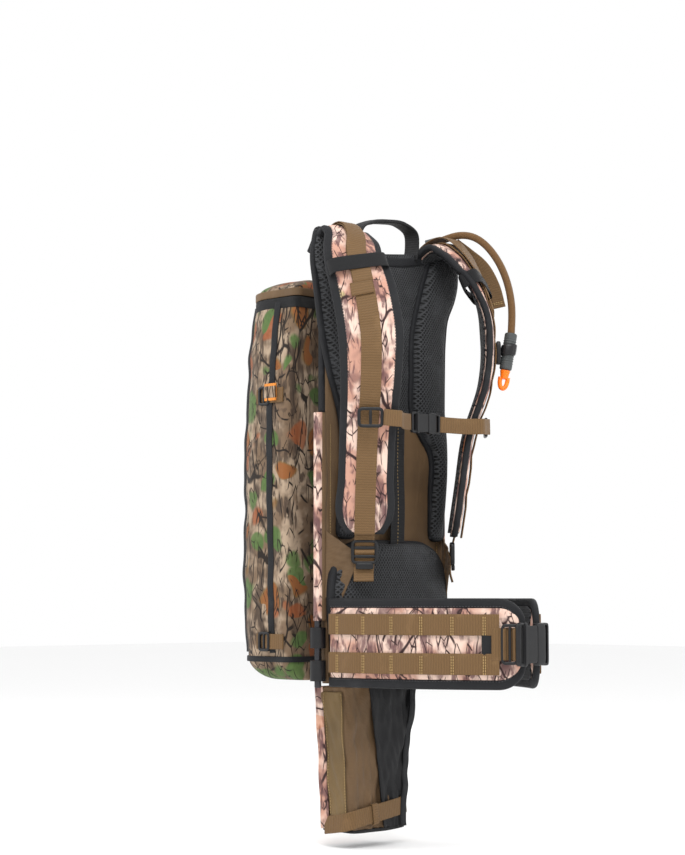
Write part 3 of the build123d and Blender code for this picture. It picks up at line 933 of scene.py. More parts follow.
def seam_along(name: str, path: Array, normal: Array, pitch: float = 3.6 * MM) -> bpy.types.Object:
    """Stitches at even spacing along a path lying on cloth.

    Args:
        name: the row's name.
        path: places along the seam.
        normal: the cloth's outward direction at each.
        pitch: distance from stitch to stitch.

    Returns:
        The row of stitches.
    """
    s = lengths(path)
    at = np.arange(pitch, s[-1] - pitch, pitch)
    both = np.hstack([path, unit(np.gradient(path, axis=0)), normal])
    found = np.stack([np.interp(at, s, column) for column in both.T], axis=1)
    return stitches(name, found[:, :3], unit(found[:, 3:6]), unit(found[:, 6:]))


def merge(name: str, objects: list[bpy.types.Object]) -> bpy.types.Object:
    """One object from several, which are removed.

    Args:
        name: the new object's name.
        objects: the objects to join.

    Returns:
        The joined object.
    """
    bm = bmesh.new()
    for obj in objects:
        bm.from_mesh(obj.data)
    mesh = bpy.data.meshes.new(name)
    bm.to_mesh(mesh)
    bm.free()
    for obj in objects:
        bpy.data.objects.remove(obj)
    result = bpy.data.objects.new(name, mesh)
    bpy.context.scene.collection.objects.link(result)
    return result


def block(
    centre: Array, axes: Array, half: Array, power: float = 0.3, name: str = "block"
) -> bpy.types.Object:
    """Rounded moulded block.

    Args:
        centre: its middle.
        axes: three directions, one per row.
        half: half-sizes along them.
        power: 1 is an ellipsoid; smaller is boxier.
        name: the piece's name.

    Returns:
        The object.
    """
    a = np.linspace(-math.pi / 2, math.pi / 2, 18)[1:-1]
    section = superellipse(32, power, power)
    scale = np.cos(a) ** power
    height = np.sign(np.sin(a)) * np.abs(np.sin(a)) ** power
    points = np.concatenate(
        [section[None] * scale[:, None, None], np.broadcast_to(height[:, None, None], (16, 32, 1))], axis=2
    )
    return skin(name, centre + (points * np.asarray(half)) @ np.asarray(axes))


def ring_frame(
    centre: Array, axes: Array, half: tuple[float, float], bar: tuple[float, float], corner: float = 0.35
) -> bpy.types.Object:
    """Rounded-rectangle frame such as a keeper or a buckle's rim.

    Args:
        centre: its middle.
        axes: directions of its width, height and thickness.
        half: half-width and half-height to the bar's middle line.
        bar: the bar's half-sizes in and across the frame's plane.
        corner: the corners' power; smaller is squarer.

    Returns:
        The object.
    """
    path2 = superellipse(48, corner, corner) * np.array(half)
    tangent = unit(np.roll(path2, -1, axis=0) - np.roll(path2, 1, axis=0))
    outward = np.stack([tangent[:, 1], -tangent[:, 0]], axis=1)
    section = superellipse(14, 0.6, 0.6)
    flat = path2[:, None] + outward[:, None] * section[None, :, :1] * bar[0]
    deep = np.broadcast_to(section[None, :, 1:] * bar[1], (48, 14, 1))
    return skin("frame", centre + np.concatenate([flat, deep], axis=2) @ np.asarray(axes), True)


def tube(name: str, path: Array, radius: Array | float, count: int = 24) -> bpy.types.Object:
    """Round tube or rod along a path.

    Args:
        name: the piece's name.
        path: places along it.
        radius: radius, or one for each place.
        count: points round it.

    Returns:
        The piece.
    """
    hint = np.array([0.31, 0.9, 0.2])
    run = Run.through(path, hint, 1.0)
    size = np.broadcast_to(radius, len(path)).astype(float)
    return skin(name, run.rings(superellipse(count, 1, 1), size, size))


@dataclass
class Panel:
    """A pad or panel whose two side edges are curves, with a crown on its front."""

    left: Array
    right: Array
    front: Array
    thick: float
    crown: float
    edge: float = 0.35
    rows: int = 60
    columns: int = 34

    def __post_init__(self) -> None:
        """Resample the edges."""
        self.left = spline(self.left, self.rows)
        self.right = spline(self.right, self.rows)
        self.front = unit(np.asarray(self.front, float))

    def grid(self, share: float = 1.0) -> Array:
        """Front surface's points.

        Args:
            share: share of the crown to keep.

        Returns:
            Points, shaped (rows, columns, 3).
        """
        u = (np.linspace(0, 1, self.columns) - 0.5) * share + 0.5
        v = (np.linspace(0, 1, self.rows) - 0.5) * share + 0.5
        flat = self.left[:, None] + (self.right - self.left)[:, None] * u[None, :, None]
        x, y = np.abs(2 * u - 1)[None, :], np.abs(2 * v - 1)[:, None]
        rise = np.sqrt(np.clip(1 - x**4, 0, 1)) * np.sqrt(np.clip(1 - y**8, 0, 1))
        height = self.thick * (self.edge + (1 - self.edge) * rise) + self.crown * rise * (1 - x**2)
        return flat + self.front * height[:, :, None]

    def rim(self) -> tuple[Array, Array]:
        """The outline as a loop at half the edge's thickness, and directions in from it."""
        top = self.left[-1] + (self.right[-1] - self.left[-1]) * np.linspace(0, 1, 18)[1:-1, None]
        low = self.right[0] + (self.left[0] - self.right[0]) * np.linspace(0, 1, 18)[1:-1, None]
        loop = np.concatenate([self.left, top, self.right[::-1], low])
        s = np.append(lengths(loop), 0)
        s[-1] = s[-2] + np.linalg.norm(loop[0] - loop[-1])
        closed = np.vstack([loop, loop[:1]])
        at = np.linspace(0, s[-1], 160, endpoint=False)
        loop = np.stack([np.interp(at, s, column) for column in closed.T], axis=1)
        for _ in range(2):
            loop = 0.5 * loop + 0.25 * (np.roll(loop, 1, axis=0) + np.roll(loop, -1, axis=0))
        tangent = unit(np.roll(loop, -1, axis=0) - np.roll(loop, 1, axis=0))
        inward = np.cross(tangent, self.front)
        if ((self.grid().mean(axis=(0, 1)) - loop) * inward).sum() < 0:
            inward = -inward
        return loop + self.front * self.thick * self.edge / 2, inward

    def solid(self, name: str, wrinkle: float = 0.0, size: float = 0.05, seed: int = 1) -> bpy.types.Object:
        """Closed pad: the crowned front, and a flat back.

        Args:
            name: the piece's name.
            wrinkle: depth of the wrinkles.
            size: length of the wrinkles.
            seed: which wrinkles.

        Returns:
            The piece.
        """
        grid = self.grid()
        if wrinkle:
            grid = grid + self.front * waves(grid, seed, size)[:, :, None] * wrinkle
        u = np.linspace(1, 0, self.columns)
        back = self.left[:, None] + (self.right - self.left)[:, None] * u[None, :, None]
        return skin(name, np.concatenate([grid, back], axis=1))

    def bound(self, name: str, reach: float = 9 * MM) -> bpy.types.Object:
        """Binding all the way round.

        Args:
            name: the piece's name.
            reach: how far it lies on each face.

        Returns:
            The binding.
        """
        loop, inward = self.rim()
        normal = np.broadcast_to(self.front, loop.shape)
        return bound_edge(name, loop, inward, normal, self.thick * self.edge, reach, True)


def stuffed(obj: bpy.types.Object, pressure: float, most: float) -> bpy.types.Object:
    """Cloth-simulate a closed pad so that it swells and creases between its edges.

    Args:
        obj: the pad.
        pressure: the pressure inside it.
        most: the furthest that any point may move.

    Returns:
        The same object with the result in its mesh.
    """
    remesh = obj.modifiers.new("even", "REMESH")
    remesh.mode, remesh.voxel_size = "VOXEL", 4.5 * MM
    bpy.context.view_layer.update()
    even = bpy.data.meshes.new_from_object(obj.evaluated_get(bpy.context.evaluated_depsgraph_get()))
    obj.modifiers.clear()
    obj.data = even
    rest = np.array([v.co for v in even.vertices])
    cloth = obj.modifiers.new("cloth", "CLOTH")
    cloth.settings.use_pressure = True
    cloth.settings.uniform_pressure_force = pressure
    cloth.settings.effector_weights.gravity = 0.0
    cloth.settings.shrink_min = -0.02
    scene = bpy.context.scene
    for number in range(1, 21):
        scene.frame_set(number)
    moved = obj.evaluated_get(bpy.context.evaluated_depsgraph_get()).to_mesh()
    result = np.array([v.co for v in moved.vertices])
    obj.modifiers.clear()
    scene.frame_set(1)
    step = result - rest
    step -= step.mean(axis=0)
    size = np.linalg.norm(step, axis=1, keepdims=True)
    step *= np.minimum(1.0, most / np.maximum(size, 1e-9))
    even.vertices.foreach_set("co", (rest + step).astype(np.float32).ravel())
    even.polygons.foreach_set("use_smooth", np.ones(len(even.polygons), bool))
    even.update()
    return subdivide(obj)


def turned(degrees: float) -> Array:
    """Axes of a plane turned about Z: across, up and outward as rows."""
    c, s = math.cos(math.radians(degrees)), math.sin(math.radians(degrees))
    return np.array([[c, -s, 0.0], [0.0, 0.0, 1.0], [-s, -c, 0.0]])


def flipped(side: Side, vectors: object) -> Array:
    """Places or directions given for the wearer's right, on the side asked for."""
    return np.asarray(vectors, float) * np.array([-side.value, 1.0, 1.0])


# --- Harness ---------------------------------------------------------------------------------------


@dataclass
class ShoulderStrap:
    """One padded strap: camouflage face, black binding, brown webbing, mesh lining and its band."""

    side: Side
    stations: tuple = (
        (91, 9, 392, 68, 0), (92, -5, 409, 70, 0), (94, -22, 416, 70, 0), (98, -38, 404, 72, 12),
        (107, -50, 382, 74, 25),
        (110, -66, 348, 76, 38), (110, -76, 316, 76, 45), (108, -80.5, 282, 76, 45), (105, -78, 240, 72, 45),
        (91.2, -58.2, 162, 65, 45), (87.8, -52.2, 110, 64, 45), (82.8, -45, 55, 60, 45),
        (81.5, -43.5, 42, 44, 45),
    )
    thick: float = 14 * MM
    edge: float = 0.32

    def run(self) -> Run:
        """The strap's course from the yoke down to the ladder-lock."""
        rows = np.array(self.stations, float)
        rows[:, :4] *= MM
        path = spline(rows, 150)
        turn = np.radians(path[:, 4])
        across = np.stack([np.cos(turn), -np.sin(turn), np.zeros(150)], axis=1)
        places = path[:, :3] * np.array([-1.0, 1.0, 1.0])
        run = Run.through(places, across, path[:, 3] / 2)
        return run.mirrored() if self.side is Side.LEFT else run

    def build(self) -> None:
        """Make every piece of the strap."""
        word, run = self.side.word, self.run()
        ripple = waves(run.path, 5, 0.09)[:, None] * 0.6 * MM
        run = Run(run.path + run.normal * ripple, run.across, run.normal, run.half - 0.8 * MM)
        pad = run.pad(f"{word}_strap_pad", self.thick, self.edge)
        dress(pad, Finish.CAMO_FACE, "harness", "camo_face", f"{word}_shoulder_strap")
        lining = run.part(0.02, 0.99).moved(-self.thick * 0.46, 0, run.part(0.02, 0.99).half * 0.8)
        dress(lining.tape(f"{word}_strap_lining", 2.6 * MM), Finish.MESH, "harness", "black_mesh")
        for mark, name in ((-1.0, "outer"), (1.0, "inner")):
            band = run.binding(
                f"{word}_strap_binding_{name}", mark, self.thick * self.edge + 1 * MM, 9.5 * MM
            )
            dress(band, Finish.BINDING, "harness", "black_webbing")
            rise = self.thick * self.edge / 2 + 1.9 * MM
            line = run.moved(rise, mark * (run.half - 7.6 * MM))
            row = seam_along(f"{word}_strap_seam_{name}", line.path, line.normal)
            dress(row, Finish.DARK_THREAD, "harness", "black_webbing")
        self.webbing(run)
        self.band(run)
        if self.side is Side.LEFT:
            self.free_tail()

    def webbing(self, run: Run) -> None:
        """The brown tape down the middle, with crossing rows of stitches and a folded end.

        Args:
            run: the strap's course.
        """
        word = self.side.word
        s = lengths(run.path)
        bars = np.arange(0.035, s[-1] - 0.02, 0.05)
        near = np.abs(s[:, None] - bars[None]).min(axis=1) / 0.025
        lift = self.thick / 2 + (1.0 + 1.7 * np.clip(near * 1.6, 0, 1) ** 0.7) * MM
        tape = run.moved(lift, 0, 12.5 * MM)
        piece = tape.tape(f"{word}_strap_tape", 1.9 * MM)
        dress(piece, Finish.BROWN_WEBBING, "harness", "brown_webbing", f"{word}_strap_webbing")
        flat = run.moved(self.thick / 2 + 2.9 * MM, 0, 12.5 * MM)
        dress(flat.bars(f"{word}_strap_bars", bars, 0, 10.5 * MM), Finish.THREAD, "harness", "brown_webbing")
        fold = run.part(0.30, 0.335, 14).moved(self.thick / 2 + 4.4 * MM, -3 * MM, 14 * MM)
        dress(fold.tape(f"{word}_strap_fold", 3.4 * MM), Finish.BROWN_WEBBING, "harness", "brown_webbing")
        lifter = run.part(0.04, 0.3, 44)
        flare = np.linspace(1, 0, 44) ** 3 * (9 * MM if self.side is Side.LEFT else 0)
        lifter = lifter.moved(self.thick / 2 + 4.6 * MM + flare, 0, 12.5 * MM)
        piece = lifter.tape(f"{word}_load_lifter", 1.9 * MM)
        nodes = ("load_lifters",) if self.side is Side.RIGHT else ()
        dress(piece, Finish.BROWN_WEBBING, "harness", "brown_webbing", *nodes)

    def free_tail(self) -> None:
        """The load lifter's free end, which stands off the left strap and hangs beside the hose."""
        points = np.array(
            [[118, -12, 427], [135, -20, 414.8], [149, -33, 399], [154, -46, 375], [153, -58, 343]]
        ) * MM
        run = Run.through(spline(points, 50), (0.707, -0.707, 0.25), 11.5 * MM)
        tape = run.tape("lifter_free_end", 1.9 * MM)
        dress(tape, Finish.BROWN_WEBBING, "harness", "brown_webbing")
        last = run.bars("lifter_end_bar", np.array([lengths(run.path)[-1] - 6 * MM]), 1.2 * MM, 9 * MM)
        dress(last, Finish.THREAD, "harness", "brown_webbing")

    def band(self, run: Run) -> None:
        """The black elastic band round the strap, above the hose's end.

        Args:
            run: the strap's course.
        """
        k = int(0.245 * len(run.path))
        axes = np.stack([run.across[k], run.normal[k], run.along[k]])
        half = (run.half[k] + 0.6 * MM, self.thick / 2 + 6.4 * MM)
        band = ring_frame(run.path[k], axes, half, (0.8 * MM, 10 * MM), 0.4)
        band.name = f"{self.side.word}_elastic_band"
        nodes = ("elastic_bands",) if self.side is Side.RIGHT else ()
        dress(band, Finish.ELASTIC, "harness", "black_elastic", *nodes)


@dataclass
class BackPanel:
    """The brown back panel with its camouflage-bound sides, stitching and frame."""

    half: float = 104 * MM
    rear: float = 9.5 * MM

    def build(self) -> None:
        """Panel, sleeves, rods and collars."""
        z = np.array([-140, -60, 60, 188, 300, 410]) * MM
        x = np.array([101.5, 104, 104, 104, 105, 105.8]) * MM
        left = np.stack([-x, np.full(6, self.rear), z], axis=1)
        right = np.stack([x, np.full(6, self.rear), z], axis=1)
        panel = Panel(left, right, (0, -1, 0), 9.6 * MM, 0, 0.9, 150, 70)
        grid = panel.grid()
        dip = (1 - (grid[..., 0] / self.half) ** 2)[..., None] * np.clip((grid[..., 2:] - 0.36) / 0.04, 0, 1)
        grid = grid - dip * np.array([0, 0, 18 * MM])
        fold = np.exp(-(((grid[..., 0] + 88 * MM + 0.16 * (grid[..., 2] - 0.16)) / (5 * MM)) ** 2))
        inner = np.clip((97 * MM - np.abs(grid[..., 0])) / (15 * MM), 0, 1)
        grid[..., 1] -= ((1.2 + 1.2 * waves(grid * np.array([1, 1, 0.5]), 8, 0.05)) * inner + 1.8 * fold) * MM
        back = np.broadcast_to([[[0.0, 1.0, 0.0]]], grid.shape) * self.rear + grid * np.array([1, 0, 1])
        cloth = skin("back_panel_cloth", np.concatenate([grid, back[:, ::-1]], axis=1))
        dress(cloth, Finish.BROWN_CLOTH, "harness", "brown_cloth", "back_panel")
        for side in Side:
            self.edge(side)
        for node, finish in (
            ("frame_sheet", Finish.PLASTIC), ("frame_rods", Finish.ROD), ("rod_collars", Finish.PLASTIC)
        ):
            keep_node(node, finish)

    def edge(self, side: Side) -> None:
        """The sleeve over one rod and the camouflage edge above it.

        Args:
            side: which side.
        """
        z = np.linspace(-64, 192, 110) * MM
        x = np.full(110, 111.0 * MM)
        path = np.stack([x * side.value, np.full(110, 6.5 * MM), z], axis=1)
        path[:, :2] += (waves(path, 4, 0.06)[:, None] * 0.7 * MM)
        size = np.full(110, 5.7 * MM)
        run = Run.through(path, (1, 0, 0), 1.0)
        rings = run.rings(superellipse(24, 0.9, 0.9), size * 1.12, size)
        sleeve = skin(f"{side.word}_edge_sleeve", rings)
        nodes = ("edge_sleeves",) if side is Side.RIGHT else ()
        dress(sleeve, Finish.CAMO_FACE, "harness", "camo_face", *nodes)
        rolled = run.path + np.array([-side.value * 4.2, -0.9, 0.0]) * MM
        cover = Run.through(rolled, (1, 0, 0), 1.0)
        rings = cover.rings(superellipse(24, 0.9, 0.9), size * 1.1, size * 1.02)
        rings += (
            waves(rings * np.array([1, 1, 0.5]), 14, 0.03) * 0.5 * MM
        )[..., None] * np.array([-side.value, -1, 0])
        roll = skin(f"{side.word}_edge_roll", rings)
        dress(roll, Finish.BROWN_CLOTH, "harness", "brown_cloth")
        rise = np.linspace(192, 404, 60) * MM
        edge = np.stack([np.full(60, side.value * 107 * MM), np.full(60, 6.5 * MM), rise], axis=1)
        inward = np.broadcast_to([-side.value, 0.0, 0.0], edge.shape)
        face = np.broadcast_to([0.0, -1.0, 0.0], edge.shape)
        hem = bound_edge(f"{side.word}_panel_binding", edge, inward, face, 6 * MM, 9 * MM, False)
        dress(hem, Finish.BINDING, "harness", "black_webbing")
        line = np.stack([np.full(110, side.value * 97 * MM), np.full(110, 0.1 * MM), z], axis=1)
        row = seam_along(f"{side.word}_panel_seam", line, np.broadcast_to([0.0, -1.0, 0.0], line.shape))
        dress(row, Finish.THREAD, "harness", "brown_cloth")


@dataclass
class Yoke:
    """The mesh pads behind the shoulders and beside the spine, and the mesh panel between them."""

    # The left pad's outline runs on down to z = 39 mm at x 80–104 mm; below z ≈ 172 mm that black mesh tail
    # is painted shade, set where a deep shadow falls beside the left strap.
    inner: tuple = (
        (80, 39), (80, 100), (79, 150), (62, 172), (44, 200), (43, 250), (44, 296), (61, 360), (84, 417)
    )
    outer: tuple = (
        (104, 39), (104, 100), (105, 180), (106, 250), (108, 300), (113, 330), (125, 352), (133, 382),
        (125, 421)
    )

    def build(self) -> None:
        """Both pads, the centre panel, and the spine webbing."""
        for side in Side:
            edges = []
            for outline in (self.inner, self.outer):
                points = np.array(outline, float) * MM
                if side is Side.RIGHT:
                    z = points[:, 1]
                    levels = np.array([0.039, 0.172, 0.276, 0.33, 0.391, 0.42])
                    widths = (60, 60, 50, 56, 76, 84) if outline is self.inner else (
                        88, 80, 115, 124, 134, 126
                    )
                    points[:, 0] = np.interp(z, levels, np.array(widths) * MM)
                edges.append(
                    np.stack([points[:, 0] * side.value, np.full(len(points), -1 * MM), points[:, 1]], axis=1)
                )
            pad = Panel(edges[0], edges[1], (0, -1, 0), 13 * MM, 2 * MM, 0.4, 120, 30)
            solid = pad.solid(f"{side.word}_yoke_mesh", 0.5 * MM, 0.05, 3)
            loop, inward = pad.rim()
            solid = stuffed(solid, 3.0, 2.5 * MM)
            dress(solid, Finish.MESH, "harness", "black_mesh", f"{side.word}_yoke_pad")
            dress(pad.bound(f"{side.word}_yoke_binding", 8 * MM), Finish.BINDING, "harness", "black_webbing")
            line = loop + inward * 6.5 * MM - np.array([0, 4.3 * MM, 0])
            row = seam_along(f"{side.word}_yoke_seam", line, np.broadcast_to([0.0, -1.0, 0.0], line.shape))
            dress(row, Finish.DARK_THREAD, "harness", "black_webbing")
        self.middle()

    def middle(self) -> None:
        """The mesh panel with its dipping bound top, and the black webbing down the spine."""
        z = np.array([186, 240, 292, 350, 413]) * MM
        x = np.array([46, 46, 46, 62, 88]) * MM
        flat = np.full(5, -0.6 * MM)
        panel = Panel(
            np.stack([-x, flat, z], axis=1), np.stack([x, flat, z], axis=1), (0, -1, 0), 3.4 * MM, 0, 0.7
        )
        grid = panel.grid()
        dip = (
            1 - (grid[..., 0] / (88 * MM)) ** 2
        )[..., None] * np.clip((grid[..., 2:] - 0.3) / 0.11, 0, 1) ** 2
        grid = grid - dip * np.array([0, 0, 16 * MM])
        back = (grid * np.array([1, 0, 1]) - np.array([0, 0.6 * MM, 0]))[:, ::-1]
        mesh = skin("center_mesh", np.concatenate([grid, back], axis=1))
        dress(mesh, Finish.MESH, "harness", "black_mesh", "center_mesh_panel")
        top = grid[-1] * np.array([1, 0, 1]) - np.array([0, 2.4 * MM, 0])
        down = np.broadcast_to([0.0, 0.0, -1.0], top.shape)
        face = np.broadcast_to([0.0, -1.0, 0.0], top.shape)
        edge = bound_edge("center_mesh_binding", top, down, face, 3 * MM, 10 * MM, False)
        dress(edge, Finish.BINDING, "harness", "black_webbing")
        z = np.linspace(186, 20, 60) * MM
        path = np.stack([np.full(60, 5 * MM), -17 * MM + np.sin(z * 60) * 0.6 * MM, z], axis=1)
        run = Run.through(path, (1, 0, 0), 12.5 * MM)
        dress(
            run.tape("spine_tape", 2 * MM), Finish.BLACK_WEBBING, "harness", "black_webbing",
            "spine_webbing"
        )
        dress(run.seam("spine_seam", 0, 1.1 * MM, 4.4 * MM), Finish.THREAD, "harness", "black_webbing")


@dataclass
class LumbarPad:
    """The domed mesh pad at the small of the back with its thick bound top."""

    def build(self) -> None:
        """Pad, binding and the brown cloth at its sides."""
        z = np.array([-140, -90, -40, 0, 22, 33]) * MM
        x = np.array([94, 98, 103, 98, 82, 56]) * MM
        y = np.full(6, -1 * MM)
        panel = Panel(
            np.stack([-x, y, z], axis=1), np.stack([x, y, z], axis=1), (0, -1, 0), 22 * MM, 6 * MM, 0.45
        )
        pad = stuffed(panel.solid("lumbar_mesh", 0.8 * MM, 0.07, 6), 3.0, 3 * MM)
        dress(pad, Finish.MESH, "harness", "black_mesh", "lumbar_pad")
        dress(panel.bound("lumbar_binding", 10 * MM), Finish.BINDING, "harness", "black_webbing")
        loop, inward = panel.rim()
        line = loop + inward * 8.5 * MM - np.array([0, 6.6 * MM, 0])
        row = seam_along("lumbar_seam", line, np.broadcast_to([0.0, -1.0, 0.0], line.shape))
        dress(row, Finish.DARK_THREAD, "harness", "black_webbing")


@dataclass
class LadderLock:
    """Ladder-lock at a strap's foot: frame, bars and tab, with its webbing tail and the cloth below."""

    side: Side
    centre: tuple = (-80, -42, 20)

    def build(self) -> None:
        """Moulded parts and the webbing tail ride on the lock; the cloth rides on the harness."""
        body, word = f"{self.side.word}_lock", self.side.word
        axes = flipped(self.side, turned(45))
        at = flipped(self.side, np.array(self.centre) * MM)
        across, up, out = axes
        parts = [ring_frame(at, axes, (14.6 * MM, 13.2 * MM), (1.9 * MM, 2.6 * MM), 0.3)]
        for height in (-5.5, 5.0):
            parts.append(block(at + up * height * MM, axes, (14 * MM, 2.0 * MM, 2.4 * MM), 0.5))
        parts.append(block(at - up * 17.5 * MM + out * 1.2 * MM, axes, (11 * MM, 3.8 * MM, 2.0 * MM), 0.45))
        lock = merge(f"{word}_lock_frame", parts)
        dress(lock, Finish.PLASTIC, body, "black_plastic", f"{word}_ladder_lock")
        path = np.array([
            [0, 22, 3.0], [0, 14, 1.0], [0, 6, -1.8], [0, 0, 1.4], [0, -5, -1.8], [0, -12, -2.4],
            [-1, -24, -2.6], [-1, -36, 0.4],
        ])
        path = at + spline(path * MM, 50) @ axes
        tail = Run.through(path[::-1], across, 12.2 * MM).tape(f"{word}_lock_tail", 1.9 * MM)
        dress(tail, Finish.BROWN_WEBBING, body, "brown_webbing", f"{word}_webbing_tail")
        self.gusset()

    def gusset(self) -> None:
        """The folded brown cloth that pulls the panel's edge towards the strap."""
        word = self.side.word
        v = np.linspace(0, 1, 60)[None, :, None]
        u = np.linspace(0, 1, 50)[:, None, None]
        edge = np.array([-106.0, 0.0, -36.0]) + np.array([0.5, -1.0, 82.0]) * v
        lock = np.array([-95.0, -19.0, -36.0]) + np.array([12.0, -18.5, 52.0]) * v
        grid = edge + (lock - edge) * u
        slant = np.array([[1.0, 0.0, 0.4], [0.0, 1.0, 0.0], [-0.55, 0.0, 0.5]])
        folds = waves(grid @ slant, 12, 17) + 0.5 * waves(grid @ slant, 13, 8)
        grid = grid + np.array([-0.75, -0.65, 0.0]) * (folds[..., None] * 2.1 * np.sin(u * math.pi) - 1.5 * u)
        cloth = cloth_grid(f"{word}_hip_cloth", flipped(self.side, grid * MM), 1.4 * MM)
        nodes = ("lower_webbings",) if self.side is Side.RIGHT else ()
        dress(cloth, Finish.BROWN_CLOTH, "harness", "brown_cloth", *nodes)


@dataclass
class HaulHandle:
    """The haul loop above the back panel."""

    def build(self) -> None:
        """Soft folded loop of black webbing, thicker where it is gripped."""
        points = np.array([
            [-52, 4, 400], [-53, 4, 412], [-46, 3, 431], [-24, 4, 441], [4, 5, 446], [34, 4, 446],
            [53, 3, 436], [56, 4, 418],
            [52, 4, 400],
        ])
        path = spline(points * MM, 110)
        s = np.linspace(-1, 1, 110)
        run = Run.through(path, (0, 1, 0.05), (12.5 - 2.2 * np.exp(-((s / 0.45) ** 4))) * MM)
        section = superellipse(28, 0.45, 0.5)
        thick = (1.3 + 1.5 * np.exp(-((s / 0.5) ** 6))) * MM
        handle = skin("haul_loop", run.rings(section, run.half, thick))
        dress(handle, Finish.BLACK_WEBBING, "haul_handle", "black_webbing", "haul_handle")
        for mark in (-1.0, 1.0):
            line = run.part(0.1, 0.9).moved(1.5 * MM, mark * 8.4 * MM)
            row = seam_along(f"haul_seam_{'rear' if mark > 0 else 'front'}", line.path, line.normal)
            dress(row, Finish.DARK_THREAD, "haul_handle", "black_webbing")


@dataclass
class DrinkHose:
    """The covered hose, its grey sleeve, the clip on the strap and the orange bite loop."""

    points: tuple = (
        (101, 0, 431), (109, -16, 437.5), (116, -33, 439), (122, -49, 434), (127, -64.5, 421),
        (131, -79, 401),
        (134, -89, 379), (135, -96, 355), (134, -100, 329), (130, -101, 303),
    )
    diameter: float = 9.5 * MM
    axis: tuple = (-7.5, 4.0, -48.0)

    def build(self) -> None:
        """Curve first, then what sits on it."""
        curve = bpy.data.curves.new("drink_hose", "CURVE")
        curve.dimensions = "3D"
        curve.bevel_depth = self.diameter / 2
        curve.bevel_resolution = 8
        curve.use_fill_caps = True
        line = curve.splines.new("NURBS")
        line.points.add(len(self.points) - 1)
        for point, place in zip(line.points, self.points):
            point.co = (*(c * MM for c in place), 1.0)
        line.order_u = 3
        line.use_endpoint_u = True
        line.resolution_u = 16
        hose = bpy.data.objects.new("drink_hose", curve)
        bpy.context.scene.collection.objects.link(hose)
        hose.data.materials.append(Finish.HOSE_COVER.material)
        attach(hose, "harness")
        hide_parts("hydration_hose")
        sleeve, loop = self.sleeve(), self.bite_loop()
        keep_node("hose_port", Finish.SLEEVE)

    def sleeve(self) -> bpy.types.Object:
        """Grey ribbed sleeve over the hose's end, and the clip that holds it to the strap."""
        axis = unit(np.array(self.axis))
        end = np.array(self.points[-1]) * MM
        t = np.linspace(0, 48, 120) * MM
        ribs = 8.0 + 0.35 * np.sin(t / MM * 2 * math.pi / 3.2) * (t > 8 * MM) * (t < 40 * MM)
        ends = np.minimum(t, 48 * MM - t) / (2.5 * MM)
        radius = (ribs - 1.6 * (1 - np.sqrt(1 - (1 - np.clip(ends, 0, 1)) ** 2))) * MM
        sleeve = tube("hose_sleeve", end + axis * t[:, None], radius, 32)
        dress(sleeve, Finish.SLEEVE, "harness", "valve_grey", "valve_sleeve")
        middle = end + axis * 22 * MM
        axes = flipped(Side.LEFT, turned(45))
        parts = [
            ring_frame(
                middle, np.stack([axes[0], axes[2], axis]), (9.2 * MM, 9.0 * MM), (1.3 * MM, 7 * MM), 0.8
            )
        ]
        low = np.array([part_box("valve_clip")[0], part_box("valve_clip")[1]]).mean(axis=0)
        parts.append(block(low, axes, (7 * MM, 15 * MM, 3.2 * MM), 0.4))
        dress(merge("hose_clip", parts), Finish.PLASTIC, "harness", "black_plastic", "valve_clip")
        return sleeve

    def bite_loop(self) -> bpy.types.Object:
        """Orange U-shaped bite valve below the sleeve."""
        axis = unit(np.array(self.axis))
        end = np.array(self.points[-1]) * MM
        side = unit(np.cross(axis, [-0.7, -0.7, 0.0]))
        t = np.linspace(49.2, 60, 20) * MM
        stem = tube(
            "stem", end + axis * t[:, None], np.interp(t, [49.2 * MM, 60 * MM], [6.6 * MM, 4.6 * MM]), 24
        )
        a = np.linspace(0, math.pi, 40)
        legs = np.stack([np.cos(a) * 4.9, 58 + 14.5 * np.sin(a) ** 0.7], axis=1) * MM
        loop = tube("loop", end + side * legs[:, :1] + axis * legs[:, 1:], 2.9 * MM, 16)
        valve = merge("bite_loop", [stem, loop])
        return dress(valve, Finish.ORANGE, "bite_valve", "valve_orange", "bite_valve")


# --- Belt and sternum strap ------------------------------------------------------------------------


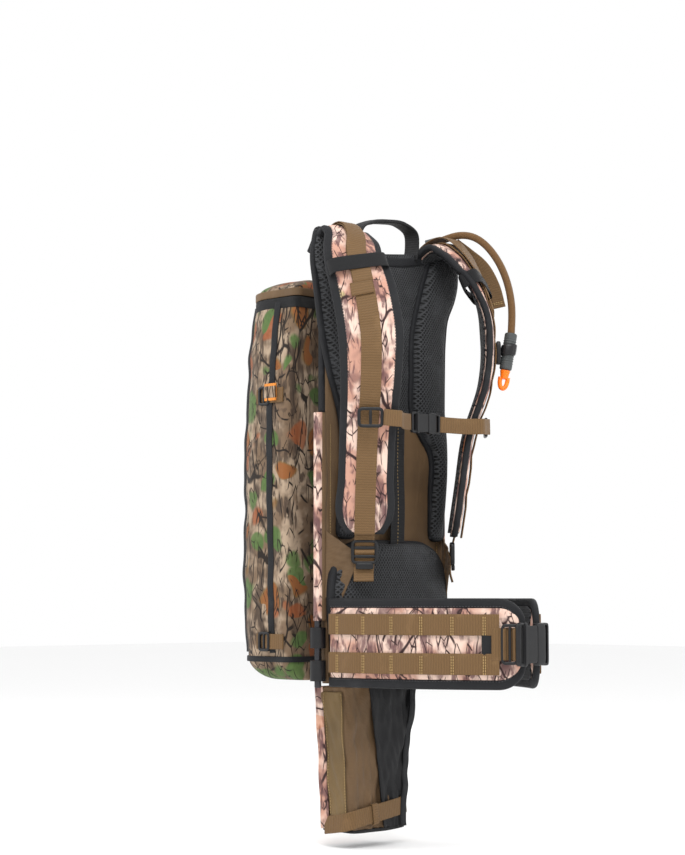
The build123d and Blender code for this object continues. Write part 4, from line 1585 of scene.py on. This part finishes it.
@dataclass
class BeltWing:
    """One padded hip-belt wing with webbing rows, its binding, webbing and half of the buckle."""

    side: Side
    centre: tuple = (280.6, 19.4)
    radius: float = 388.0
    start: float = 184.4
    end: float = 221.2

    def arc(self, out: float, start: float, end: float, z: float, half: float, count: int = 120) -> Run:
        """Run round the belt's arc, out from its middle, between angles in degrees.

        Args:
            out: distance out from the arc.
            start: first angle, in degrees.
            end: last angle, in degrees.
            z: height.
            half: half-width.
            count: places along it.

        Returns:
            The run, on the side asked for.
        """
        a = np.radians(np.linspace(start, end, count))
        r = (self.radius + out) * MM
        path = np.stack(
            [
                self.centre[0] * MM + r * np.cos(a), self.centre[1] * MM + r * np.sin(a),
                np.full(count, z * MM)
            ],
            axis=1
        )
        run = Run.through(path, (0, 0, 1), half * MM)
        return run.mirrored() if self.side is Side.LEFT else run

    def build(self) -> None:
        """Pad, lining, binding, rows, patch and webbing."""
        word, body = self.side.word, f"belt_{self.side.word}"
        run = self.arc(0, self.start, self.end, -90, 51)
        s = lengths(run.path)
        past = np.clip((s - (s[-1] - 30 * MM)) / (30 * MM), 0, 1)
        run.half = run.half - 30 * MM * (1 - np.sqrt(1 - past**2 * 0.995))
        run.path = run.path + run.normal * (waves(run.path, 9, 0.08) * 0.8 * MM)[:, None]
        pad = run.pad(f"{word}_belt_pad", 13 * MM, 0.36)
        dress(pad, Finish.CAMO_FACE, body, "camo_face", f"{word}_belt_wing")
        inner = run.part(0.02, 0.96)
        lining = inner.moved(-5.6 * MM, 0, inner.half * 0.86)
        dress(lining.tape(f"{word}_belt_lining", 2.6 * MM), Finish.MESH, body, "black_mesh")
        top = run.path + run.across * run.half[:, None]
        low = run.path - run.across * run.half[:, None]
        edge = np.concatenate([top, low[::-1]])
        inward = np.concatenate([-run.across, run.across[::-1]])
        turn = np.clip(past, 0, 1)
        turn = np.concatenate([turn, turn[::-1]])[:, None]
        along = np.concatenate([run.along, run.along[::-1]])
        inward = unit(inward * np.sqrt(1 - (turn * 0.98) ** 2) - along * turn)
        face = np.concatenate([run.normal, run.normal[::-1]])
        keep = np.r_[True, np.linalg.norm(np.diff(edge, axis=0), axis=1) > 0.4 * MM]
        edge, inward, face = edge[keep], inward[keep], face[keep]
        binding = bound_edge(f"{word}_belt_binding", edge, inward, face, 5.6 * MM, 9 * MM, False)
        dress(binding, Finish.BINDING, body, "black_webbing")
        line = edge + inward * 7.2 * MM + face * 4.0 * MM
        dress(seam_along(f"{word}_belt_seam", line, face), Finish.DARK_THREAD, body, "black_webbing")
        self.rows(body)
        self.tail(body)

    def rows(self, body: str) -> None:
        """Two rows of webbing sewn down every 38 mm, bowing out between the stitches.

        Args:
            body: the body it rides on.
        """
        word = self.side.word
        for z, name in ((-67.5, "upper"), (-113.5, "lower")):
            run = self.arc(7.6, self.start + 0.8, self.start + 32.6, z, 12.5, 200)
            s = lengths(run.path)
            bars = np.arange(0.012, s[-1], 0.038)
            near = np.abs(s[:, None] - bars[None]).min(axis=1) / 0.019
            lift = (0.1 + 2.8 * np.sin(np.clip(near, 0, 1) * math.pi / 2) ** 0.6) * MM
            nodes = (f"{word}_molle_rows",) if name == "upper" else ()
            tape = run.moved(lift).tape(f"{word}_molle_{name}", 1.9 * MM)
            dress(tape, Finish.BROWN_WEBBING, body, "brown_webbing", *nodes)
            row = run.bars(f"{word}_molle_bars_{name}", bars, 2.0 * MM, 11 * MM)
            dress(row, Finish.THREAD, body, "brown_webbing")
        patch = self.arc(8.3, self.start + 29.6, self.start + 32.2, -90, 12.5, 20)
        dress(patch.tape(f"{word}_belt_patch", 2.2 * MM), Finish.BINDING, body, "black_webbing")

    def tail(self, body: str) -> None:
        """The wide webbing that carries the buckle, sewn on at the wing's tip.

        Args:
            body: the body it rides on.
        """
        run = self.arc(10.8, self.start + 31.3, self.start + 35.9, -90, 19, 40)
        tape = run.tape(f"{self.side.word}_belt_tape", 2.2 * MM)
        dress(tape, Finish.BROWN_WEBBING, body, "brown_webbing", f"{self.side.word}_belt_webbing")
        k = 26
        axes = np.stack([run.along[k], run.across[k], run.normal[k]])
        at = run.path[k] + run.normal[k] * 2.2 * MM
        parts = [ring_frame(at, axes, (8.5 * MM, 22 * MM), (1.9 * MM, 2.6 * MM), 0.25)]
        parts.append(block(at, axes, (1.7 * MM, 22 * MM, 2.4 * MM), 0.5))
        dress(merge(f"{self.side.word}_belt_adjuster", parts), Finish.PLASTIC, body, "black_plastic")
        for share in (18, 33):
            hump = run.part(share / 39 - 0.09, share / 39 + 0.09, 16)
            lift = (1.4 + 3.2 * np.sin(np.linspace(0, math.pi, 16))) * MM
            piece = hump.moved(lift, 0, 18.6 * MM).tape(f"{self.side.word}_belt_wrap_{share}", 1.8 * MM)
            dress(piece, Finish.BROWN_WEBBING, body, "brown_webbing")


@dataclass
class SideRelease:
    """Side-release buckle: a hollow socket with open sides, and a three-pronged plug."""

    name: str
    y: float
    z: float
    socket: tuple[float, float]
    plug: tuple[float, float]
    prongs: float
    height: float
    thick: float
    bodies: tuple[str, str]
    nodes: tuple[str, str]

    def build(self) -> None:
        """Socket and plug with their ladder bars and wrapped webbing."""
        axes = np.eye(3)
        h, t, y, z = self.height / 2, self.thick / 2, self.y, self.z
        x0, x1 = self.socket
        bar = 0.36 * (x1 - x0)
        shell = [
            block(
                self.at((x0 + bar + x1) / 2, y - t + 1.3, z), axes,
                self.mm((x1 - x0 - bar) / 2, 1.3, h * 0.86), 0.28
            ),
            block(
                self.at((x0 + bar + x1) / 2, y + t - 1.3, z), axes,
                self.mm((x1 - x0 - bar) / 2, 1.3, h * 0.86), 0.28
            ),
            block(self.at(x0 + bar, y, z), axes, self.mm(2.4, t, h), 0.3),
            block(self.at(x1 - 1.6, y, z + h * 0.62), axes, self.mm(1.6, t, h * 0.2), 0.4),
            block(self.at(x1 - 1.6, y, z - h * 0.62), axes, self.mm(1.6, t, h * 0.2), 0.4),
        ]
        frame_axes = np.array([[1.0, 0, 0], [0, 0, 1.0], [0, -1.0, 0]])
        shell.append(
            ring_frame(
                self.at(x0 + bar / 2, y, z), frame_axes, self.mm(bar / 2 - 1.2, h - 2)[:2],
                self.mm(1.7, t * 0.62)[:2], 0.25
            )
        )
        dress(
            merge(f"{self.name}_socket", shell), Finish.PLASTIC, self.bodies[0], "black_plastic",
            self.nodes[0]
        )
        x2, x3 = self.plug
        fork = [
            block(self.at((x2 + x3 - 7) / 2, y, z), axes, self.mm((x3 - 7 - x2) / 2, t * 0.92, h * 0.97), 0.3)
        ]
        for share in (-0.62, 0.0, 0.62):
            fork.append(
                block(
                    self.at((x2 + 2 + self.prongs) / 2, y, z + share * h), axes,
                    self.mm((x2 + 2 - self.prongs) / 2, t * 0.42, h * 0.11), 0.5
                )
            )
        fork.append(
            ring_frame(
                self.at(x3 - 5, y, z), frame_axes, self.mm(4, h - 2)[:2], self.mm(1.6, t * 0.62)[:2], 0.25
            )
        )
        dress(
            merge(f"{self.name}_plug", fork), Finish.PLASTIC, self.bodies[1], "black_plastic", self.nodes[1]
        )

    @staticmethod
    def at(x: float, y: float, z: float) -> Array:
        """Place in metres."""
        return np.array([x, y, z]) * MM

    @staticmethod
    def mm(*sizes: float) -> tuple[float, ...]:
        """Sizes in metres."""
        return tuple(size * MM for size in sizes)


@dataclass
class SternumStrap:
    """Sliders on both straps, the chest webbing and its buckle."""

    z: float = 181.0

    def build(self) -> None:
        """Webbing follows the straps' faces, then hangs to the buckle."""
        for side in Side:
            points = np.array(
                [
                    [-97, -91.6], [-86, -95.6], [-75, -99.4], [-66, -92.4], [-57, -85.4], [-44, -78.4],
                    [-27, -70]
                ]
            )
            path = spline(np.column_stack([points, np.full(7, self.z)]) * MM, 60)
            path[:, 2] -= np.sin(np.linspace(0, math.pi, 60)) * 1.5 * MM
            run = Run.through(path, (0, 0, 1), 10 * MM)
            run = run.mirrored() if side is Side.LEFT else run
            tape = run.tape(f"{side.word}_chest_webbing", 2.0 * MM)
            dress(
                tape, Finish.BROWN_WEBBING, "sternum_strap", "brown_webbing", f"sternum_{side.word}_webbing"
            )
            if side is Side.LEFT:
                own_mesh(tape)
            axes = flipped(side, turned(45))
            at = flipped(side, np.array([-106, -75, 181]) * MM)
            at = at + axes[0] * 2 * MM + axes[2] * 1.6 * MM
            outline = ring_frame(at, axes, (14 * MM, 10.5 * MM), (2.0 * MM, 1.8 * MM), 0.3)
            bar = block(at, axes, (1.8 * MM, 10.5 * MM, 1.7 * MM), 0.5)
            nodes = ("sternum_sliders",) if side is Side.RIGHT else ()
            dress(
                merge(f"{side.word}_chest_slider", [outline, bar]), Finish.PLASTIC, "sternum_strap",
                "black_plastic", *nodes
            )
        buckle = SideRelease(
            "chest_buckle", -70, self.z, (-26, 2), (3, 25), -11, 27, 8, ("sternum_strap", "sternum_plug"),
            ("sternum_buckle_socket", "sternum_buckle_plug"),
        )
        buckle.build()


# --- Boot, bag and lid ------------------------------------------------------------------------------


@dataclass
class Boot:
    """The cloth boot below the belt, open at the wearer's right, that takes the rifle's butt."""

    top: float = -146.0
    low: float = -322.0

    def wrapped(self, start: float, end: float, size: float, lift: float = 0.0, count: int = 110) -> Array:
        """Grid of the wall that wraps the open side and the front, with its wrinkles.

        Args:
            start: where it starts, in millimetres from the rear edge of the right side.
            end: where it ends; the front's left edge is at 174.
            size: how deep its wrinkles are, in millimetres.
            lift: distance out from the wall, in millimetres.
            count: points across.

        Returns:
            Points in metres, shaped (across, down, 3).
        """
        at = np.linspace(start, end, count)
        places = np.array([0, 20, 38, 47, 54, 62, 90, 130, 174.0])
        flat_x = np.array([-66, -66, -65.5, -63, -58, -51, -24, 15, 58.0])
        flat_y = np.array([55, 35, 17, 10, 7.2, 6.5, 6.5, 6.5, 6.5])
        x, y = np.interp(at, places, flat_x)[:, None], np.interp(at, places, flat_y)[:, None]
        v = np.linspace(0, 1, 90)[None, :]
        x = x + np.where(x < 0, 12 * v * (-x / 66), -(x / 58) * (27 * v**0.9 - 7 * v**7))
        z = self.top + (self.low - self.top) * v + 0 * x
        grid = np.stack([x, y + 0 * v, z], axis=2)
        normal = unit(np.cross(np.gradient(grid, axis=0), np.gradient(grid, axis=1)))
        normal *= -np.sign(normal[..., 1:2].sum())
        slant = grid @ np.array([[1, 0, 0.5], [0, 1, 0], [-0.35, 0, 0.5]])
        folds = waves(slant, 21, 30) + 0.6 * waves(slant, 22, 13)
        return (grid + normal * (folds * size + lift)[..., None]) * MM

    def build(self) -> None:
        """Walls, floor, panel, band and closure."""
        front = cloth_grid("boot_front_cloth", self.wrapped(2, 174, 2.1), -1.6 * MM)
        dress(front, Finish.BROWN_CLOTH, "boot", "brown_cloth", "boot_front_wall")
        u, v = np.meshgrid(np.linspace(0, 1, 60), np.linspace(0, 1, 90), indexing="ij")
        left, right = -66 + 12 * v, 58 - 27 * v**0.9 + 7 * v**7
        grid = np.stack(
            [left + (right - left) * u, 55.5 + 0 * u, self.top + (self.low - self.top) * v], axis=2
        )
        grid[..., 1] += waves(grid, 31, 40) * 1.0
        rear = cloth_grid("boot_rear_cloth", grid[::-1] * MM, 1.8 * MM)
        dress(rear, Finish.CAMO_FACE, "boot", "camo_face", "boot_rear_wall")
        edge = grid[0] * MM - np.array([1.5 * MM, 1.0 * MM, 0])
        inward = np.broadcast_to([0.2, -0.98, 0.0], edge.shape)
        face = np.broadcast_to([-0.98, -0.2, 0.0], edge.shape)
        hem = bound_edge("boot_rear_hem", edge, inward, face, 4 * MM, 11 * MM, False)
        dress(hem, Finish.CAMO_FACE, "boot", "camo_face")
        self.closure()
        self.panel()
        self.side()
        self.band()

    def closure(self) -> None:
        """Hook tape down the right side, sewn along both edges."""
        grid = self.wrapped(13, 43, 1.8, 1.6, 40)[:, 3:-4]
        strip = cloth_grid("boot_hook_tape", grid, -1.6 * MM)
        dress(strip, Finish.HOOK_TAPE, "boot", "hook_strip", "boot_hook_strip")
        out = np.array([-0.8, -0.5, 0.0])
        for index, name in ((2, "rear"), (-3, "front")):
            line = grid[index] + out * 0.9 * MM
            row = seam_along(f"boot_hook_seam_{name}", line, np.broadcast_to(out, line.shape))
            dress(row, Finish.THREAD, "boot", "brown_cloth")

    def panel(self) -> None:
        """The darker bound panel on the front wall."""
        grid = self.wrapped(84, 173, 2.0, 4.2)
        v = np.linspace(0, 1, 90)[None, :]
        grid[..., 0] += np.linspace(1, 0, 110)[:, None] * (4 + 20 * v**0.8) * MM
        cloth = cloth_grid("boot_dark_cloth", grid, -1.4 * MM)
        dress(cloth, Finish.DARK_CLOTH, "boot", "black_webbing")
        inward = np.broadcast_to([-1.0, 0.0, 0.0], grid[-1].shape)
        face = np.broadcast_to([0.0, -1.0, 0.0], inward.shape)
        hem = bound_edge(
            "boot_panel_binding", grid[-1] + np.array([1.0, 0.5, 0]) * MM, inward, face, 3 * MM, 9 * MM,
            False
        )
        dress(hem, Finish.BINDING, "boot", "black_webbing")

    def side(self) -> None:
        """The wall on the wearer's left and the black floor."""
        v = np.linspace(0, 1, 60)
        y = np.linspace(6.5, 54.5, 30)[:, None]
        x = (58 - 27 * v**0.9 + 7 * v**7)[None, :] + 2 * np.sin((y - 6.5) / 48 * math.pi)
        z = (self.top + (self.low - self.top) * v)[None, :] + 0 * y
        grid = np.stack([x, y + 0 * x, z], axis=2)
        grid[..., 0] += waves(grid, 41, 30) * 0.9
        wall = cloth_grid("boot_side_cloth", grid * MM, -1.6 * MM)
        dress(wall, Finish.BROWN_CLOTH, "boot", "brown_cloth", "boot_side_wall")
        t = np.linspace(0, 1, 30)
        left = np.stack([-54 + 0 * t, 6 + 50 * t, -322 + 0 * t], axis=1) * MM
        right = np.stack([40 + 0 * t, 6 + 50 * t, -322 + 0 * t], axis=1) * MM
        floor = Panel(left, right, (0, 0, -1), 5 * MM, 0.5 * MM, 0.5, 40, 60)
        dress(floor.solid("boot_base", 0.3 * MM), Finish.DARK_CLOTH, "boot", "black_webbing", "boot_floor")

    def band(self) -> None:
        """Brown webbing slanting up across the boot, with its keeper."""
        points = np.array([
            [-57, 50, -318], [-58.5, 30, -315], [-58, 13, -312], [-53, 4.4, -309], [-44, 2.2, -307],
            [-10, 0.6, -302],
            [20, 1.2, -298], [40, 3, -295],
        ])
        path = spline(points * MM, 70)
        run = Run.through(path, (0.1, 0, 1), 11 * MM)
        run.normal = unit(np.cross([0.1, 0, 1.0], run.along)) * -1.0
        if run.normal[-1, 1] > 0:
            run.normal = -run.normal
        dress(run.tape("boot_tape", 2 * MM), Finish.BROWN_WEBBING, "boot", "brown_webbing", "boot_bands")
        k = 40
        axes = np.stack([run.across[k], run.normal[k], run.along[k]])
        keeper = ring_frame(run.path[k], axes, (12.2 * MM, 2.4 * MM), (0.9 * MM, 5 * MM), 0.3)
        keeper.name = "boot_loop"
        dress(keeper, Finish.BROWN_WEBBING, "boot", "brown_webbing")


def line_inside(shell: bpy.types.Object, finish: Finish) -> None:
    """Give the inner half of a nested shell a lining of its own finish.

    Args:
        shell: the nested shell.
        finish: the lining's finish.
    """
    shell.data.materials.append(finish.material)
    count = len(shell.data.polygons)
    quads = np.array([len(polygon.vertices) == 4 for polygon in shell.data.polygons])
    first = np.flatnonzero(~quads).min() if (~quads).any() else count
    index = np.zeros(count, np.int32)
    index[first // 2 : first] = 1
    index[first + (count - first) // 2 :] = 1
    shell.data.polygons.foreach_set("material_index", index)
    shell.data.update()


def plan_loop(half: float, front: float, rear: float, corner: float, count: int = 180) -> Array:
    """Plan of the bag: nearly square front corners and round rear ones.

    Args:
        half: half-width.
        front: front edge's Y.
        rear: rear edge's Y.
        corner: the rear corners' radius.
        count: how many points.

    Returns:
        Points in X and Y, evenly spaced, from the front's middle.
    """
    a = np.linspace(0, math.pi / 2, 14)
    small = min(9.0, 0.3 * half)
    corner = min(corner, 0.98 * half, 0.6 * (rear - front))
    parts = [np.array([[0.0, front]])]
    parts.append(np.stack([half - small + small * np.sin(a), front + small - small * np.cos(a)], axis=1))
    parts.append(np.stack([half - corner + corner * np.cos(a), rear - corner + corner * np.sin(a)], axis=1))
    right = np.concatenate(parts)
    loop = np.concatenate([right, [[0.0, rear]], (right[1:] * np.array([-1, 1]))[::-1], right[:1]])
    s = lengths(loop)
    at = np.linspace(0, s[-1], count, endpoint=False)
    return np.stack([np.interp(at, s, loop[:, 0]), np.interp(at, s, loop[:, 1])], axis=1)


@dataclass
class Bag:
    """The main bag: a sagging camouflage shell with seams, straps, pocket and reservoir."""

    low: float = -138.0
    top: float = 344.0
    wall: float = 2.6

    def half(self, z: float) -> float:
        """Half-width at a height, in millimetres."""
        return float(np.interp(z, [-138, -110, 0, 200, 290, 345], [112, 117, 119.5, 120.5, 112, 103]))

    def ring(self, z: float, inset: float) -> Array:
        """One level of the shell, in metres.

        Args:
            z: height, in millimetres.
            inset: distance in from the outer face, in millimetres.

        Returns:
            Points in metres.
        """
        low = max(0.0, 1 - (z - self.low) / 26.0)
        tuck = 22.0 * (1 - math.sqrt(max(0.0, 1 - low**2))) + inset
        rear = float(np.interp(z, [-138, 0, 200, 345], [157, 160, 160.5, 159.5]))
        loop = plan_loop(self.half(z) - tuck, 54.5 + inset, rear - tuck, 52.0)
        points = np.column_stack([loop, np.full(len(loop), z)])
        out = unit(loop - np.array([0.0, 105.0]))
        soft = np.clip((points[:, 1] - 60) / 25, 0, 1) * (1 - 0.5 * low)
        push = waves(points * np.array([1, 1, 0.7]), 51, 90) * 2.3 + waves(points, 52, 38) * 0.8
        points[:, :2] += out * (push * soft)[:, None]
        return points * MM

    def build(self) -> None:
        """Shell first, then all that is sewn to it."""
        z = np.concatenate(
            [self.low + 26 * (1 - np.cos(np.linspace(0, math.pi / 2, 14))), np.linspace(-105, self.top, 120)]
        )
        outer = [self.ring(level, 0.0) for level in z]
        inner = [self.ring(max(level, self.low + self.wall), self.wall) for level in z[::-1]]
        shell = skin("bag_shell", np.stack(outer + inner))
        walls = ("bag_inner_wall", "bag_right_wall", "bag_left_wall", "bag_outer_wall", "bag_floor")
        dress(shell, Finish.CAMO_BAG, "bag", "camo_bag", *walls)
        line_inside(shell, Finish.DARK_CLOTH)
        self.seams()
        self.straps()
        self.pocket()

    def line(self, heights: Array, index: int, out: float = 0.0) -> tuple[Array, Array]:
        """A vertical line on the shell at one place round it, and its outward directions.

        Args:
            heights: heights, in millimetres.
            index: place in the ring's order.
            out: distance out of the shell, in millimetres.

        Returns:
            The places and their outward directions.
        """
        rings = np.stack([self.ring(z, -out) for z in heights])
        path = rings[:, index]
        outward = unit((path - np.array([0.0, 0.105, 0.0])) * np.array([1, 1, 0]))
        return path, outward

    def seams(self) -> None:
        """Piping up the rear corners and the front edges, and the tape round the mouth."""
        heights = np.linspace(-104, 338, 110)
        count = len(plan_loop(100, 54.5, 160, 52))
        for number, share in enumerate((0.225, 0.335, 0.665, 0.775)):
            path, outward = self.line(heights, int(share * count), 0.8)
            run = Run.through(path, np.cross(outward, [0.0, 0.0, 1.0]), 4.5 * MM)
            piping = run.tape(f"bag_piping_{number}", 2.4 * MM, 0.4)
            dress(piping, Finish.BINDING, "bag", "black_webbing")
        for level, height, finish, name in (
            (337.0, 7.0, Finish.ELASTIC, "zip_track"), (-112.0, 3.5, Finish.BINDING, "base_piping")
        ):
            loop = self.ring(level, -0.7)
            tangent = unit(np.roll(loop, -1, axis=0) - np.roll(loop, 1, axis=0))
            outward = np.cross(tangent, [0.0, 0.0, 1.0])
            section = superellipse(16, 0.4, 0.5)
            rings = loop[:, None] + outward[:, None] * section[None, :, 1:] * 1.0 * MM
            rings = rings + np.array([0.0, 0.0, 1.0]) * (section[None, :, :1] * height * MM)
            dress(skin(f"bag_{name}", rings, True), finish, "bag", "black_webbing")

    def straps(self) -> None:
        """Compression straps and their buckles on both sides."""
        for side in Side:
            for z in (218.0, -90.0):
                y = np.linspace(60, 108, 40)
                x = np.full(40, self.half(z) + 3.2) + 0.9 * np.sin(y / 6)
                path = np.stack([x * side.value, y, z + 0 * y], axis=1) * MM
                run = Run.through(path, (0, 0, 1), 9.5 * MM)
                name = f"{side.word}_{'upper' if z > 0 else 'lower'}"
                first = side is Side.RIGHT and z > 0
                tape = run.tape(f"{name}_compression_tape", 2 * MM)
                dress(
                    tape, Finish.BROWN_WEBBING, "bag", "brown_webbing",
                    *(("compression_straps",) if first else ())
                )
                at = np.array([(self.half(z) + 4.2) * side.value, 92, z]) * MM
                axes = np.array([[0.0, 1.0, 0.0], [0.0, 0.0, 1.0], [1.0, 0.0, 0.0]])
                parts = [ring_frame(at, axes, (8.4 * MM, 10.5 * MM), (1.8 * MM, 2.6 * MM), 0.3)]
                parts.append(block(at, axes, (1.7 * MM, 10.5 * MM, 2.4 * MM), 0.5))
                buckle = merge(f"{name}_compression_buckle", parts)
                dress(buckle, Finish.PLASTIC, "bag", "black_plastic", *(("strap_buckles",) if first else ()))
        y = np.linspace(70, 90, 12)
        path = np.stack([np.full(12, -self.half(218) - 5.4), y, np.full(12, 222.0)], axis=1) * MM
        tab = Run.through(path, (0, 0, 1), 11 * MM)
        dress(tab.tape("side_tab", 2.6 * MM), Finish.ORANGE_TAPE, "bag", "brown_webbing")
        inner = tab.moved(-0.9 * MM if tab.normal[0, 0] > 0 else 0.9 * MM, 0, 7.5 * MM)
        dress(inner.tape("side_tab_face", 2.0 * MM), Finish.CAMO_BAG, "bag", "camo_bag")

    def pocket(self) -> None:
        """The rear pocket, its binding, and the drinking reservoir inside."""
        t = np.linspace(-1, 1, 40)
        z = -10 + 95 * t
        x = 75 - 14 * np.abs(t) ** 8
        y = np.full(40, 158.5)
        panel = Panel(
            np.stack([-x, y, z], axis=1) * MM, np.stack([x, y, z], axis=1) * MM, (0, 1, 0), 20 * MM, 5 * MM,
            0.3, 70, 50
        )
        pocket = stuffed(panel.solid("rear_pocket", 1.0 * MM, 0.06, 61), 3.0, 3 * MM)
        dress(pocket, Finish.CAMO_BAG, "bag", "camo_bag", "front_pocket")
        dress(panel.bound("rear_pocket_binding", 7 * MM), Finish.BINDING, "bag", "black_webbing")
        zipper = np.stack(
            [np.linspace(-66, 66, 60), np.full(60, 179.4), 58 + 0 * np.linspace(0, 1, 60)], axis=1
        ) * MM
        run = Run.through(zipper, (0, 0, 1), 4 * MM)
        dress(run.tape("rear_pocket_zip", 2.4 * MM), Finish.ELASTIC, "bag", "black_webbing")
        y = np.full(40, 58.5)
        z = 110 + 148 * t
        x = 73 - 12 * np.abs(t) ** 8
        bladder = Panel(
            np.stack([-x, y, z], axis=1) * MM, np.stack([x, y, z], axis=1) * MM, (0, 1, 0), 14 * MM, 3 * MM,
            0.15
        )
        obj = bladder.solid("drink_reservoir", 0.6 * MM, 0.05, 71)
        dress(obj, Finish.RESERVOIR, "bag", "reservoir_film", "hydration_reservoir")


@dataclass
class Lid:
    """The domed lid with its zip track, side band, slider and pull."""

    def ring(self, share: float, z: float, inset: float) -> Array:
        """One level of the lid, its plan shrunk about the bag's middle.

        Args:
            share: share of the full plan.
            z: height, in millimetres.
            inset: distance in from the outer face, in millimetres.

        Returns:
            Points in metres.
        """
        loop = plan_loop(102.0 - inset, 54.5 + inset, 158.5 - inset, 50.0)
        middle = np.array([0.0, 106.0])
        points = np.column_stack([middle + (loop - middle) * share, np.full(len(loop), z)])
        points[:, 2] += waves(points, 81, 70) * 1.2 * min(1.0, (1 - share) * 4)
        return points * MM

    def build(self) -> None:
        """Shell, binding, side band, and the CAD's slider and pull."""
        share = np.sin(np.linspace(0.01, math.pi / 2, 40))
        crown = 350 + 21 * np.sqrt(1 - share**5)
        outer = [self.ring(s, z, 0) for s, z in zip(share, crown)] + [self.ring(1.0, 346.0, 0)]
        inner = [self.ring(1.0, 346.0, 2.6)] + [
            self.ring(s, z - 2.6, 2.6) for s, z in zip(share[::-1], crown[::-1])
        ]
        lid = skin("lid_shell", np.stack(outer + inner))
        dress(lid, Finish.CAMO_BAG, "lid", "camo_bag", "lid_top", "lid_rim")
        line_inside(lid, Finish.DARK_CLOTH)
        loop = self.ring(1.008, 350.0, -1.0)
        tangent = unit(np.roll(loop, -1, axis=0) - np.roll(loop, 1, axis=0))
        outward = np.cross(tangent, [0.0, 0.0, 1.0])
        section = superellipse(16, 0.4, 0.6)
        rings = loop[:, None] + outward[:, None] * section[None, :, 1:] * 0.9 * MM
        rings = rings + np.array([0.0, 0.0, 1.0]) * (section[None, :, :1] * 5.0 * MM)
        dress(skin("lid_binding", rings, True), Finish.BROWN_CLOTH, "lid", "brown_cloth")
        for node in ("zip_slider", "zip_pull"):
            keep_node(node, Finish.PLASTIC)


@dataclass
class SideGusset:
    """The cloth that hinges the bag to the harness on the wearer's left."""

    def build(self) -> None:
        """A slack strip, riding on no body."""
        y, z = np.meshgrid(np.linspace(13, 55, 40), np.linspace(-120, 180, 90), indexing="ij")
        x = 121.5 + 2.0 * np.sin((y - 13) / 42 * math.pi) + 0 * z
        grid = np.stack([x, y, z], axis=2)
        grid[..., 0] += waves(grid, 91, 40) * 0.8
        cloth = cloth_grid("side_gusset_cloth", grid * MM, 1.6 * MM)
        dress(cloth, Finish.BROWN_CLOTH, "", "brown_cloth", "side_gusset")
        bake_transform(cloth)


# --- Studio ----------------------------------------------------------------------------------------


@dataclass
class Studio:
    """Camera, soft lights and a plain pale floor."""

    eye: tuple = (-1.799, -1.723, -0.0379)
    aim: tuple = (-0.038, 0.038, 0.18)
    lens: float = 82.8

    def camera(self) -> None:
        """The camera that the scene renders from."""
        data = bpy.data.cameras.new("camera")
        data.lens, data.sensor_width = self.lens, 36.0
        data.sensor_fit = "VERTICAL"
        data.sensor_height = 36.0
        camera = bpy.data.objects.new("camera", data)
        camera.location = self.eye
        camera.rotation_euler = (Vector(self.aim) - Vector(self.eye)).to_track_quat("-Z", "Y").to_euler()
        bpy.context.scene.collection.objects.link(camera)
        bpy.context.scene.camera = camera

    def lights(self) -> None:
        """Three large soft lights and an even pale world."""
        for name, place, size, watts in (
            ("key", (-1.3, -1.2, 2.0), 1.3, 44.0), ("fill", (0.9, -2.2, 0.8), 1.6, 12.0),
            ("rear", (-1.6, 1.6, 1.4), 1.5, 16.0),
            ("left", (2.2, 0.4, 1.0), 1.5, 10.0),
        ):
            data = bpy.data.lights.new(name, "AREA")
            data.energy, data.size = watts, size
            light = bpy.data.objects.new(name, data)
            light.location = place
            light.rotation_euler = (Vector((0, 0, 0.1)) - Vector(place)).to_track_quat("-Z", "Y").to_euler()
            bpy.context.scene.collection.objects.link(light)
        world = bpy.data.worlds.new("world")
        world.use_nodes = True
        back = world.node_tree.nodes["Background"]
        back.inputs[0].default_value = (1.0, 1.0, 1.0, 1.0)
        back.inputs[1].default_value = 1.0
        bpy.context.scene.world = world
        bpy.context.scene.view_settings.view_transform = "Standard"

    def floor(self) -> None:
        """A wide pale floor just below the boot."""
        z = -0.345
        verts = np.array([[-9, -9, z], [9, -9, z], [9, 9, z], [-9, 9, z]], float)
        floor = make_object("floor", verts, [[0, 1, 2, 3]], None, False)
        g = Graph("floor")
        floor.data.materials.append(g.finish(Base_Color=(0.93, 0.93, 0.93), Roughness=0.9))


def main() -> None:
    """Build the pack."""
    logging.basicConfig(level=logging.INFO, format="%(message)s")
    studio = Studio()
    studio.camera()
    DrinkHose().build()
    studio.lights()
    studio.floor()
    BackPanel().build()
    Yoke().build()
    LumbarPad().build()
    for side in Side:
        ShoulderStrap(side).build()
        LadderLock(side).build()
        BeltWing(side).build()
    buckle = SideRelease(
        "belt_buckle", -247, -90, (-36, -6), (-5, 17), -20, 51, 11, ("belt_right", "belt_left"),
        ("belt_buckle_socket", "belt_buckle_plug"),
    )
    buckle.build()
    SternumStrap().build()
    HaulHandle().build()
    Boot().build()
    Bag().build()
    Lid().build()
    SideGusset().build()


if __name__ == "__main__":
    main()
